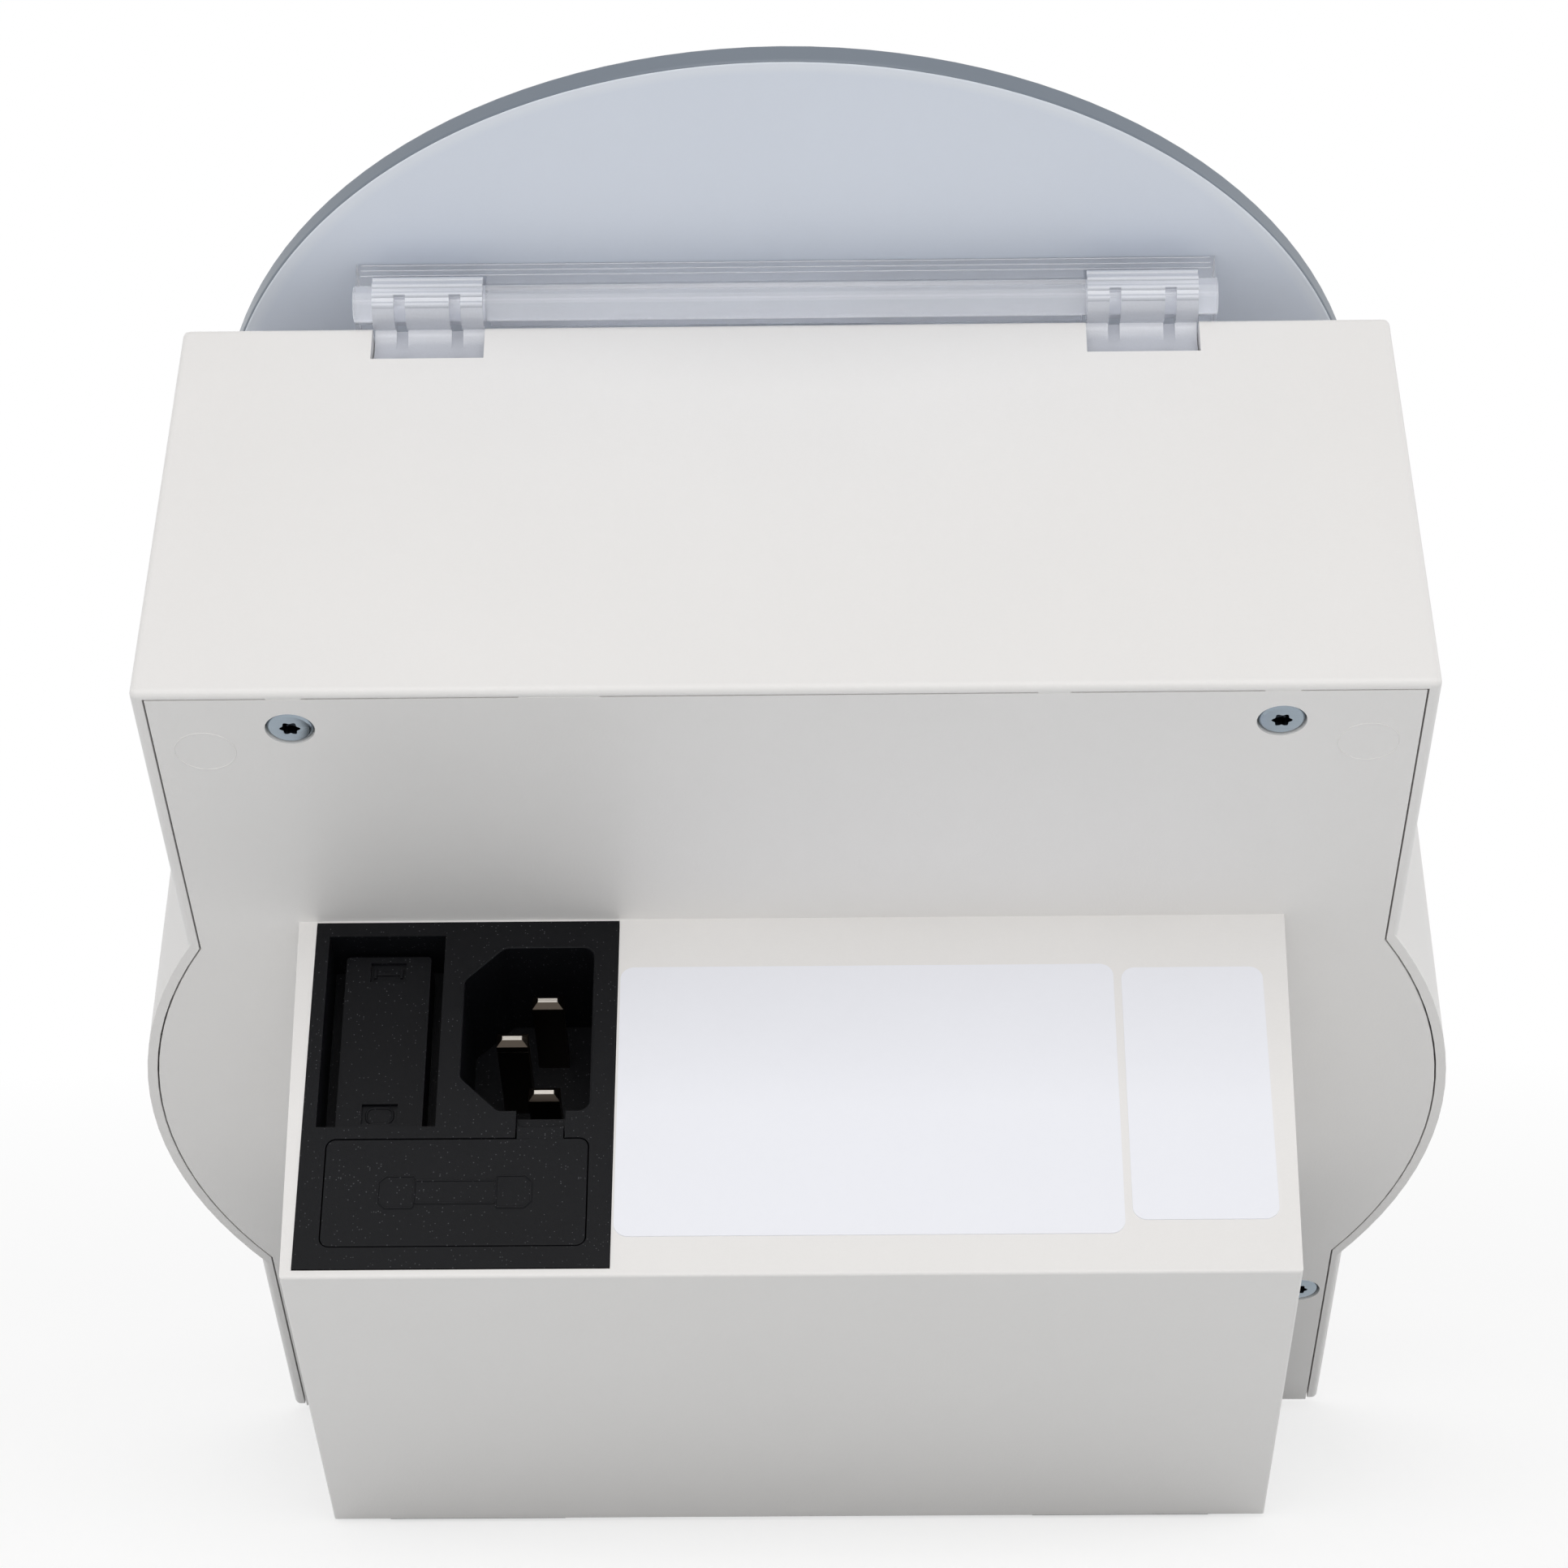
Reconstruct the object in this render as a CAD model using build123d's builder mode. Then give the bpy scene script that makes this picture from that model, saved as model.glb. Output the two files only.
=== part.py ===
"""Capsule mixer (dental amalgamator), built as an assembly of separate pieces.

The machine is drawn in its own leaning frame: x across, "up" along the rear plate and
"front" square to that plate. The frame is then set down on the table, +Z up, front to -Y,
so that the lower rear edge of the housing and that of the rear box share one flat plane.
"""
from build123d import *
from math import atan2, cos, degrees, hypot, radians, sin, tan
import os

os.makedirs("parts", exist_ok=True)

# ---------------------------------------------------------------- driving sizes (mm)
# housing
body_draft = 1.95
body_depth = 59.0
drum_bulge = 10.2
drum_headroom = 8.1
drum_trim = 1.1
drum_step = 8.0
drum_draft = 1.1
wall = 2.6
front_wall = 2.0
side_rim = 1.55
top_rim = 1.1
drum_rim = 1.35
edge_round = 0.9
drum_round = 1.2

# rear cover and its box
cover_thickness = 2.4
cover_gap = 0.25
box_width = 129.0
box_draft = 1.0
box_drop = 50.3
box_height = 68.1
box_depth = 53.07
box_wall = 2.2
box_round = 0.4

# feet
foot_proud = 0.25
foot_run = 6.0
foot_length = 24.0
box_foot_setback = 0.8
body_foot_setback = 3.2
box_foot_inset = 20.5
body_foot_inset = 30.0

# fasteners
screw_radius = 1.25
head_radius = 3.0
head_height = 1.4
head_recess = 0.05
head_gap = 0.1
thread_gap = 0.05
recess_share = 0.4
head_round_share = 0.4
screw_hole_gap = 0.25
top_screw_inset = 19.0
top_screw_drop = 7.4
side_screw_inset = 5.6
side_screw_rise = 35.3
top_boss_radius = 4.9
side_boss_radius = 3.4
cover_screw_length = 9.0
board_head_radius = 2.2
motor_head_radius = 2.2

# mixing chamber
chamber_radius = 46.0
chamber_margin = 44.2
bowl_wall = 2.0
bowl_flange_width = 4.6
bowl_flange_gap = 1.4
bowl_setback = 9.0
bowl_flange = 2.0
gasket_width = 2.6
gasket_proud = 0.7
mouth_gap = 0.3
strut_radius = 3.2
strut_inset = 12.0

# lid and hinge
lid_inset = 12.6
lid_overhang = 38.3
lid_gap = 1.0
lid_thickness = 2.9
lid_round = 0.45
hinge_up = 1.0
rod_offset = 6.0
rod_radius = 2.35
rod_gap = 0.05
barrel_radius = 3.4
barrel_gap = 0.2
bar_half = 55.9
bar_rise = 1.1
bar_fall = 7.4
bar_depth = 8.0
cheek_width = 2.4
clip_width = 14.3
clip_side_gap = 0.2
notch_gap = 0.15
notch_length = 5.45
notch_depth = 6.0
leaf_edge = 0.2
leaf_drop = 2.4
leaf_scoop = 3.2
leaf_lip = 0.6
leaf_reach = 1.4
rib_radius = 0.45
rib_sink = 0.15
rib_first = -25.0
rib_step = 23.0
rib_count = 4
slot_width = 1.5
slot_share = 0.25
slot_top = 3.4
slot_bottom = 3.6
slot_cover = 0.8
magnet_x = 50.0
magnet_drop = 28.0
magnet_radius = 4.0
magnet_thickness = 0.7
sensor_width = 8.0
sensor_height = 14.0
sensor_depth = 4.0
sensor_round = 1.0

# spindle and bearings
spindle_radius = 3.0
bearing_fit = 0.04
bearing_radius = 9.5
bearing_width = 6.0
race_width = 1.5
race_depth = 0.4
tube_wall = 2.0
tube_length = 17.0
tube_gap = 0.7
tube_end = 0.5
seat_fit = 0.02
spindle_tail = 2.0
spindle_nose = 1.0
spindle_collar = 1.0

# drive
motor_x = -27.0
motor_radius = 24.0
motor_clear = 12.87
motor_shaft_radius = 2.5
motor_nose_radius = 6.3
motor_nose = 3.0
motor_round = 2.0
motor_screw_pitch = 24.0
motor_tap = 6.0
drive_belt_width = 6.0
belt_thickness = 1.2
belt_gap = 0.3
motor_pulley_radius = 6.0
drive_pulley_radius = 15.0
flange_rise = 1.8
flange_width = 1.0
pulley_fit = 0.02

# rotor
rotor_clear = 5.0
rotor_gap = 2.0
hole_circle = 26.65
rotor_thickness = 3.0
rotor_hole_radius = 5.0
planet_offset = 19.5
planet_pulley_radius = 5.75
planet_belt_width = 3.0
planet_belt_inset = 1.0
planet_shaft_radius = 2.5
bush_wall = 1.5
boss_wall = 2.0
boss_length = 7.0
balance_radius = 8.0
balance_offset = 24.0
balance_height = 4.4
nut_radius = 5.5
nut_height = 3.0

# capsule cradle
cradle_gap = 2.0
cradle_base = 2.5
cradle_width = 16.0
cradle_corner = 2.0
jaw_height = 12.0
jaw_thickness = 3.0
fixed_jaw_inset = 1.0
capsule_length = 27.0
capsule_radius = 6.0
sliding_thickness = 2.5
post_thickness = 2.0
post_inset = 0.5
jaw_pin_radius = 1.5
jaw_inset = 1.0
jaw_gap = 0.3
jaw_travel = 3.5
jaw_spare = 1.5
pin_hold = 1.2

# chassis
stack_depth = 57.0
chassis_thickness = 2.0
chassis_inset = 8.0
chassis_drop = 22.0
chassis_height = 104.0
chassis_corner = 6.0
pillar_radius = 4.0
upper_pillar_inset = 12.0
upper_pillar_drop = 30.0
lower_pillar_inset = 14.0
lower_pillar_drop = 118.0
chassis_screw_length = 9.0

# front panel
panel_inset = 5.7
panel_lid_gap = 1.8
panel_thickness = 1.1
window_width = 46.0
window_height = 16.0
window_rise = 51.5
window_rim = 1.5
start_radius = 9.0
start_rise = 26.5
adjust_radius = 6.5
adjust_x = 27.0
adjust_rise = 30.0
button_gap = 0.25
button_proud = 1.6
button_round = 0.5
button_lip = 1.2
button_lip_height = 1.6
button_lip_gap = 0.3
button_stem = 2.6
button_travel = 0.8
stem_clear = 1.8
switch_gap = 0.2
switch_size = 6.0
display_depth = 7.4
board_thickness = 1.6
board_width = 80.0
board_height = 48.0
board_rise = 42.5
post_radius = 2.8
post_inset_x = 4.0
post_lower_inset_x = 3.0
post_inset_up = 5.0
post_lower_inset_up = 4.0

# power inlet module; distances to the rear count from the rear plate
module_side = 2.5
module_width = 39.5
module_near = 0.35
module_edge = 1.17
module_gap = 0.1
module_proud = 0.15
module_inset = 1.0
module_depth = 27.0
inlet_margin = 3.1
inlet_width = 16.7
inlet_edge = 4.15
inlet_height = 24.7
inlet_depth = 19.5
inlet_chamfer = 5.0
inlet_round = 1.5
pin_spacing = 14.0
earth_shift = 4.25
line_pin_inset = 6.2
pin_width = 4.0
pin_thickness = 2.0
pin_chamfer = 0.75
pin_recess = 4.2
earth_recess = 2.2
pocket_margin = 2.8
pocket_width = 15.2
pocket_edge = 2.15
pocket_height = 28.9
pocket_depth = 9.0
insert_side = 2.05
insert_margin = 1.3
insert_recess = 3.0
insert_round = 0.5
grip_width = 4.6
grip_height = 2.9
grip_edge = 0.95
grip_depth = 0.5
drawer_width = 33.15
drawer_edge = 3.2
drawer_space = 1.9
drawer_gap = 0.15
drawer_round = 1.2
drawer_travel = 15.0
drawer_hold = 5.0
tab_inset = 3.15
tab_width = 6.0
tab_reach = 1.9
tab_thickness = 2.0
tab_recess = 0.2
fuse_radius = 2.5
fuse_length = 20.0
fuse_gap = 0.1
fuse_first = 6.5
fuse_pitch = 7.5

# labels
label_thickness = 0.15
rating_gap = 0.4
rating_edge = 7.6
rating_height = 39.9
label_space = 1.0
service_inset = 3.4
service_width = 18.3
service_edge = 8.2
service_height = 37.4
label_round = 1.8

# power board
power_left = 4.0
power_inset = 4.5
power_drop = 30.2
power_margin = 4.4
power_clear = 14.0
power_thickness = 1.6
standoff_radius = 2.2
standoff_inset = 4.0
capacitor_radius = 8.0
capacitor_height = 26.0
capacitor_inset = 14.0
choke_width = 26.0
choke_height = 24.0
choke_depth = 22.0
choke_inset = 4.0
choke_round = 1.0

# ---------------------------------------------------------------- sizes that follow
drum_radius = chamber_radius + chamber_margin
half_back = drum_radius - drum_bulge
half_front = half_back - body_draft
drum_up = -drum_headroom - drum_radius
body_height = drum_headroom + 2 * drum_radius - drum_trim
drum_depth = body_depth + drum_step
drum_taper = drum_depth * tan(radians(drum_draft))
drum_inner_front = drum_depth - front_wall
body_inner_front = body_depth - wall
drum_bottom = drum_up - drum_radius
box_top = -box_drop
box_bottom = box_top - box_height
half_box = box_width / 2
half_box_rear = half_box - box_draft

# columns and screws
top_screw_x = half_back - top_screw_inset
top_screw_up = -top_screw_drop
side_screw_x = half_back - side_screw_inset
side_screw_up = side_screw_rise - body_height
upper_pillar_x = half_back - upper_pillar_inset
lower_pillar_x = half_back - lower_pillar_inset
box_foot_x = half_box - box_foot_inset
body_foot_x = half_back - body_foot_inset

# hinge line, lid and clips
lid_radius = drum_radius - lid_inset
lid_back = drum_depth + lid_gap
lid_up = lid_overhang - lid_radius
hinge_front = lid_back - rod_offset
rib_orbit = barrel_radius - rib_sink
barrel_reach = rib_orbit + rib_radius
bar_top = hinge_up + bar_rise
bar_bottom = hinge_up - bar_fall
cheek_back = lid_back - bar_depth
middle_back = hinge_front + rod_radius + rod_gap
clip_outer = bar_half - cheek_width - clip_side_gap
clip_inner = clip_outer - clip_width
notch_back = body_depth - notch_length

# chassis, drive and rotor, counted back from the drum's front
chassis_back = drum_depth - stack_depth
chassis_front = chassis_back + chassis_thickness
drive_back = chassis_front + motor_nose
drive_front = drive_back + drive_belt_width
tube_radius = bearing_radius + tube_wall
tube_back = drive_front + mouth_gap + flange_width + tube_gap
tube_front = tube_back + tube_length
bowl_floor = tube_back + bowl_setback
bowl_floor_front = bowl_floor + bowl_wall
bowl_outer = chamber_radius + bowl_wall
bowl_flange_radius = chamber_radius + bowl_flange_width
chamber_up = -drum_headroom - drum_taper - wall - bowl_flange_gap - bowl_flange_radius
magnet_up = chamber_up - magnet_drop
planet_up = chamber_up - planet_offset
planet_belt_front = tube_front - planet_belt_inset
planet_belt_back = planet_belt_front - planet_belt_width
rotor_radius = chamber_radius - rotor_clear
rotor_back = tube_front + rotor_gap
rotor_front = rotor_back + rotor_thickness
bush_radius = planet_shaft_radius + bush_wall
bush_bore = planet_shaft_radius + bearing_fit
boss_radius = bush_radius + boss_wall
boss_front = rotor_back + boss_length
cradle_back = boss_front + cradle_gap
cradle_front = cradle_back + cradle_base
jaw_front = cradle_front + jaw_height
jaw_space = jaw_travel + jaw_spare
jaw_pin_length = jaw_space + pin_hold
fixed_jaw = fixed_jaw_inset + jaw_thickness
sliding_jaw = sliding_thickness + jaw_space + post_thickness + post_inset
cradle_half = (fixed_jaw + capsule_length + sliding_jaw) / 2
jaw_face = fixed_jaw - cradle_half
sliding_face = jaw_face + capsule_length
motor_up = (box_top + box_bottom) / 2
motor_length = chassis_back + box_depth - box_wall - motor_clear

# front panel and its board
panel_radius = drum_radius - panel_inset
window_up = drum_bottom + window_rise
start_up = drum_bottom + start_rise
adjust_up = drum_bottom + adjust_rise
board_up = drum_bottom + board_rise
board_back = drum_inner_front - display_depth
board_front = board_back + board_thickness
post_x = board_width / 2 - post_inset_x
post_x_lower = board_width / 2 - post_lower_inset_x
post_upper = board_up + board_height / 2 - post_inset_up
post_lower = board_up - board_height / 2 + post_lower_inset_up

# power inlet module
face_up = box_top + module_proud
module_right = half_box - module_side
module_left = module_right - module_width
module_far = box_depth - module_edge
inlet_left = module_left + inlet_margin
inlet_right = inlet_left + inlet_width
inlet_near = module_near + inlet_edge
inlet_far = inlet_near + inlet_height
inlet_middle = (inlet_near + inlet_far) / 2
line_pin_x = inlet_left + line_pin_inset
pocket_left = inlet_right + pocket_margin
pocket_right = pocket_left + pocket_width
pocket_near = module_near + pocket_edge
pocket_far = pocket_near + pocket_height
drawer_depth = drawer_travel + drawer_hold
drawer_left = inlet_left
drawer_right = drawer_left + drawer_width
drawer_near = pocket_far + drawer_space
drawer_far = module_far - drawer_edge
tab_left = drawer_left + tab_inset
tab_right = tab_left + tab_width

# labels and power board
rating_right = module_left - rating_gap
service_left = service_inset - half_box
service_right = service_left + service_width
rating_left = service_right + label_space
power_right = half_box - power_inset
power_top = box_top - power_drop
power_bottom = box_bottom + power_margin
power_front = chassis_back - power_clear
power_back = power_front - power_thickness

# ---------------------------------------------------------------- the leaning frame
lean = atan2(body_height + box_bottom, box_depth)
rounding_reach = sin(lean) + cos(lean) - 1
corner_height = body_height * cos(lean) + foot_proud
rear_reach = -edge_round * rounding_reach
drum_low = drum_bottom + drum_taper
front_reach = drum_low * sin(lean) - drum_depth * cos(lean) + drum_round * rounding_reach
corner_y = -(rear_reach + front_reach) / 2
machine = Plane(origin=(0, corner_y, corner_height), x_dir=(1, 0, 0), z_dir=(0, -cos(lean), sin(lean)))


def spot(x, up, front):
    """A point of the machine's frame, in the world."""
    return machine.from_local_coords(Vector(x, up, front))


def level(front):
    """Plane parallel to the rear plate: local x across, local y up."""
    return machine.offset(front)


def cut_at(x):
    """Plane across the machine: local x up, local y to the front, normal along +X."""
    return Plane(origin=spot(x, 0, 0), x_dir=machine.y_dir, z_dir=(1, 0, 0))


def shelf(up):
    """Plane square to the plate: local x across, local y to the rear, normal up."""
    return Plane(origin=spot(0, up, 0), x_dir=(1, 0, 0), z_dir=machine.y_dir)


def disc(x, up, radius, back, front, mode=Mode.ADD):
    """A round bar or hole along the front direction."""
    with BuildSketch(level(back)) as outline:
        with Locations((x, up)):
            Circle(radius)
    extrude(outline.sketch, amount=front - back, mode=mode)


def slab(left, right, bottom, top, back, front, mode=Mode.ADD, corner=0.0):
    """A block between two levels, with optional round corners."""
    with BuildSketch(level(back)) as outline:
        with Locations(((left + right) / 2, (bottom + top) / 2)):
            if corner > 0:
                RectangleRounded(right - left, top - bottom, corner)
            else:
                Rectangle(right - left, top - bottom)
    extrude(outline.sketch, amount=front - back, mode=mode)


def tower(left, right, near, far, bottom, top, mode=Mode.ADD, corner=0.0):
    """A block that stands along the up direction; near and far count to the rear."""
    with BuildSketch(shelf(bottom)) as outline:
        with Locations(((left + right) / 2, (near + far) / 2)):
            if corner > 0:
                RectangleRounded(right - left, far - near, corner)
            else:
                Rectangle(right - left, far - near)
    extrude(outline.sketch, amount=top - bottom, mode=mode)


def cross_bar(left, right, up, front, radius, mode=Mode.ADD):
    """A round bar or hole that runs across the machine."""
    with BuildSketch(cut_at(left)) as outline:
        with Locations((up, front)):
            Circle(radius)
    extrude(outline.sketch, amount=right - left, mode=mode)


def save(builder, name):
    """Label a finished piece and write its file."""
    builder.part.label = name
    export_step(builder.part, f"parts/{name}.step")


# ---------------------------------------------------------------- housing
rim_half = half_back - side_rim
rim_radius = drum_radius - drum_rim
cover_half = rim_half - cover_gap
cover_radius = rim_radius - cover_gap
cover_top = -top_rim - cover_gap
pilot_radius = screw_radius + thread_gap
clearance_radius = screw_radius + screw_hole_gap
top_screws = [(-top_screw_x, top_screw_up), (top_screw_x, top_screw_up)]
side_screws = [(-side_screw_x, side_screw_up), (side_screw_x, side_screw_up)]
cover_screw_spots = top_screws + side_screws
upper_pillars = [(-upper_pillar_x, -upper_pillar_drop), (upper_pillar_x, -upper_pillar_drop)]
lower_pillars = [(-lower_pillar_x, -lower_pillar_drop), (lower_pillar_x, -lower_pillar_drop)]
pillar_spots = upper_pillars + lower_pillars
board_posts = [
    (-post_x, post_upper), (post_x, post_upper),
    (-post_x_lower, post_lower), (post_x_lower, post_lower),
]
buttons = {
    "start_button": (0.0, start_up, start_radius),
    "time_down_button": (-adjust_x, adjust_up, adjust_radius),
    "time_up_button": (adjust_x, adjust_up, adjust_radius),
}
reach = 1.0

with BuildPart() as housing:
    with BuildSketch(shelf(0)):
        with BuildLine():
            Polyline(
                (-half_back, 0), (half_back, 0), (half_front, -body_depth),
                (-half_front, -body_depth), close=True,
            )
        make_face()
    extrude(amount=-body_height)
    fillet(housing.edges(), radius=edge_round)
    with BuildSketch(level(0)):
        with Locations((0, drum_up)):
            Circle(drum_radius)
    extrude(amount=drum_depth, taper=drum_draft)
    drum_face = housing.faces().sort_by(Axis(spot(0, 0, 0), machine.z_dir))[-1]
    fillet(drum_face.edges(), radius=drum_round)
    # the drum is cut level with the bottom face
    slab(
        -drum_radius, drum_radius, -2 * body_height, -body_height, -reach, drum_depth + reach,
        Mode.SUBTRACT,
    )
    # hollow of the boxy part and of the drum
    with BuildSketch(shelf(-wall)):
        with BuildLine():
            Polyline(
                (-half_back + wall, 0), (half_back - wall, 0), (half_front - wall, -body_inner_front),
                (-half_front + wall, -body_inner_front), close=True,
            )
        make_face()
    extrude(amount=2 * wall - body_height, mode=Mode.SUBTRACT)
    with BuildSketch(level(0)):
        with Locations((0, drum_up)):
            Circle(drum_radius - wall)
    extrude(amount=drum_inner_front, taper=drum_draft, mode=Mode.SUBTRACT)
    # rebate for the rear cover, open at the bottom edge
    slab(-rim_half, rim_half, -body_height - reach, -top_rim, -reach, cover_thickness, Mode.SUBTRACT)
    disc(0, drum_up, rim_radius, -reach, cover_thickness, Mode.SUBTRACT)
    # columns for the cover screws, the chassis and the control board
    for x, up in top_screws:
        disc(x, up, top_boss_radius, cover_thickness, body_depth - front_wall)
    for x, up in side_screws:
        disc(x, up, side_boss_radius, cover_thickness, body_depth - front_wall)
    for x, up in upper_pillars:
        disc(x, up, pillar_radius, chassis_front, body_depth - front_wall)
    for x, up in lower_pillars:
        disc(x, up, pillar_radius, chassis_front, drum_depth - front_wall / 2)
    for x, up in board_posts:
        disc(x, up, post_radius, board_front, drum_depth - front_wall / 2)
    for x, up in cover_screw_spots:
        disc(x, up, pilot_radius, 0, cover_screw_length + reach, Mode.SUBTRACT)
    for x, up in pillar_spots:
        disc(x, up, pilot_radius, chassis_back, chassis_back + chassis_screw_length + reach, Mode.SUBTRACT)
    for x, up in board_posts:
        disc(x, up, pilot_radius, board_back, drum_inner_front - reach, Mode.SUBTRACT)
    # chamber mouth, panel openings and the two hinge notches
    disc(0, chamber_up, chamber_radius, drum_inner_front - reach, drum_depth + reach, Mode.SUBTRACT)
    slab(
        -window_width / 2, window_width / 2, window_up - window_height / 2, window_up + window_height / 2,
        drum_inner_front - reach, drum_depth + reach, Mode.SUBTRACT,
    )
    for x, up, radius in buttons.values():
        disc(x, up, radius + button_gap, drum_inner_front - reach, drum_depth + reach, Mode.SUBTRACT)
    for side in (-1, 1):
        left, right = sorted((side * (clip_inner - notch_gap), side * (clip_outer + notch_gap)))
        slab(left, right, -notch_depth, reach, notch_back, body_depth + reach, Mode.SUBTRACT)
save(housing, "housing")

# ---------------------------------------------------------------- rear cover
counterbore = head_radius + head_gap
head_seat = head_recess + head_height

with BuildPart() as rear_cover:
    with BuildSketch(level(0)):
        with Locations((0, (cover_top - body_height) / 2)):
            Rectangle(2 * cover_half, body_height + cover_top)
        with Locations((0, drum_up)):
            Circle(cover_radius)
    extrude(amount=cover_thickness)
    with BuildPart(mode=Mode.PRIVATE) as rear_box:
        with BuildSketch(shelf(box_top)):
            with BuildLine():
                Polyline(
                    (-half_box, -cover_thickness), (half_box, -cover_thickness),
                    (half_box, 0), (half_box_rear, box_depth),
                    (-half_box_rear, box_depth), (-half_box, 0), close=True,
                )
            make_face()
        extrude(amount=box_bottom - box_top)
        rear_face = rear_box.faces().sort_by(Axis(spot(0, 0, 0), -machine.z_dir))[-1]
        fillet(rear_face.edges(), radius=box_round)
    add(rear_box.part)
    with BuildSketch(shelf(box_top - box_wall)):
        with BuildLine():
            Polyline(
                (-half_box + box_wall, -cover_thickness - reach),
                (half_box - box_wall, -cover_thickness - reach),
                (half_box - box_wall, 0), (half_box_rear - box_wall, box_depth - box_wall),
                (-half_box_rear + box_wall, box_depth - box_wall), (-half_box + box_wall, 0),
                close=True,
            )
        make_face()
    extrude(amount=box_bottom - box_top + 2 * box_wall, mode=Mode.SUBTRACT)
    tower(
        module_left - module_gap, module_right + module_gap, module_near - module_gap,
        module_far + module_gap, box_top - box_wall - reach, box_top + reach, Mode.SUBTRACT,
    )
    for x, up in cover_screw_spots:
        disc(x, up, counterbore, -reach, head_seat, Mode.SUBTRACT)
        disc(x, up, clearance_radius, 0, cover_thickness + reach, Mode.SUBTRACT)
save(rear_cover, "rear_cover")


def screws(name, spots, seat, length, radius=screw_radius, head=head_radius, height=head_height):
    """Pan-head screws driven from the rear; each head's underside sits at the seat."""
    with BuildPart() as group:
        for x, up in spots:
            disc(x, up, head, seat - height, seat)
            disc(x, up, radius, seat, length)
            floor = seat - height * recess_share
            disc(x, up, head * recess_share, seat - height, floor, Mode.SUBTRACT)
        heads = group.edges().filter_by(GeomType.CIRCLE)
        rims = [edge for edge in heads if abs(edge.radius - head) < 1e-4 and
                machine.to_local_coords(edge.arc_center).Z < seat - height / 2]
        fillet(rims, radius=height * head_round_share)
    save(group, name)


screws("cover_screws", cover_screw_spots, head_seat, cover_screw_length)
screws("chassis_screws", pillar_spots, chassis_back, chassis_back + chassis_screw_length)
screws("board_screws", board_posts, board_back, drum_inner_front - 2 * reach, head=board_head_radius)

# ---------------------------------------------------------------- feet


def foot_set(name, edge_up, edge_front, setback, foot_x):
    """Two wedge feet under a bottom face, flat on the table plane."""
    rise = (cos(lean), sin(lean))
    ahead = (-sin(lean), cos(lean))
    start = (setback + foot_proud * rise[1]) / ahead[1]
    low_up = edge_up - foot_proud * rise[0] + start * ahead[0]
    low_front = edge_front + setback
    end_up = low_up + foot_run * ahead[0]
    end_front = low_front + foot_run * ahead[1]
    with BuildPart() as feet:
        for side in (-1, 1):
            with BuildSketch(cut_at(side * foot_x - foot_length / 2)):
                with BuildLine():
                    Polyline(
                        (edge_up, low_front), (low_up, low_front), (end_up, end_front),
                        (edge_up, end_front), close=True,
                    )
                make_face()
            extrude(amount=foot_length)
    save(feet, name)
    return spot(foot_x, (low_up + end_up) / 2, (low_front + end_front) / 2)


box_foot_spot = foot_set("box_feet", box_bottom, -box_depth, box_foot_setback, box_foot_x)
body_foot_spot = foot_set("housing_feet", -body_height, 0, body_foot_setback, body_foot_x)

# ---------------------------------------------------------------- chassis
motor_hole = motor_nose_radius + button_gap
motor_screws = [(motor_x - motor_screw_pitch / 2, motor_up), (motor_x + motor_screw_pitch / 2, motor_up)]
standoff_spots = [
    (power_left + standoff_inset, power_top - standoff_inset),
    (power_right - standoff_inset, power_top - standoff_inset),
    (power_left + standoff_inset, power_bottom + standoff_inset),
    (power_right - standoff_inset, power_bottom + standoff_inset),
]

with BuildPart() as chassis:
    slab(
        chassis_inset - half_back, half_back - chassis_inset, -chassis_drop - chassis_height, -chassis_drop,
        chassis_back, chassis_front, corner=chassis_corner,
    )
    disc(motor_x, motor_up, motor_hole, chassis_back - reach, chassis_front + reach, Mode.SUBTRACT)
    for x, up in pillar_spots + motor_screws:
        disc(x, up, clearance_radius, chassis_back - reach, chassis_front + reach, Mode.SUBTRACT)
    for x, up in standoff_spots:
        disc(x, up, standoff_radius, power_front, chassis_back)
save(chassis, "chassis_plate")

# ---------------------------------------------------------------- chamber bowl
strut_offset = chamber_radius - strut_inset
strut_spots = [(-strut_offset, chamber_up), (strut_offset, chamber_up)]
sun_back = planet_belt_back - mouth_gap

with BuildPart() as bowl:
    disc(0, chamber_up, bowl_outer, bowl_floor, drum_inner_front)
    disc(0, chamber_up, bowl_flange_radius, drum_inner_front - bowl_flange, drum_inner_front)
    disc(0, chamber_up, chamber_radius, bowl_floor_front, drum_inner_front + reach, Mode.SUBTRACT)
    disc(0, chamber_up, tube_radius, tube_back, tube_front)
    for x, up in strut_spots:
        disc(x, up, strut_radius, chassis_front, bowl_floor)
    disc(0, chamber_up, bearing_radius + seat_fit, tube_back - reach, tube_front + reach, Mode.SUBTRACT)
save(bowl, "chamber_bowl")

with BuildPart() as gasket:
    disc(0, chamber_up, chamber_radius + mouth_gap + gasket_width, drum_depth, drum_depth + gasket_proud)
    disc(0, chamber_up, chamber_radius + mouth_gap, drum_depth - reach, drum_depth + reach, Mode.SUBTRACT)
save(gasket, "lid_gasket")


def bearing(name, back):
    """A ball bearing on the spindle, as one closed ring with a groove on each face."""
    front = back + bearing_width
    middle = (bearing_radius + bearing_bore) / 2
    with BuildPart() as ring:
        disc(0, chamber_up, bearing_radius, back, front)
        disc(0, chamber_up, bearing_bore, back - reach, front + reach, Mode.SUBTRACT)
        for low, high in ((back - reach, back + race_depth), (front - race_depth, front + reach)):
            with BuildSketch(level(low)) as groove:
                with Locations((0, chamber_up)):
                    Circle(middle + race_width / 2)
                    Circle(middle - race_width / 2, mode=Mode.SUBTRACT)
            extrude(groove.sketch, amount=high - low, mode=Mode.SUBTRACT)
    save(ring, name)


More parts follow.
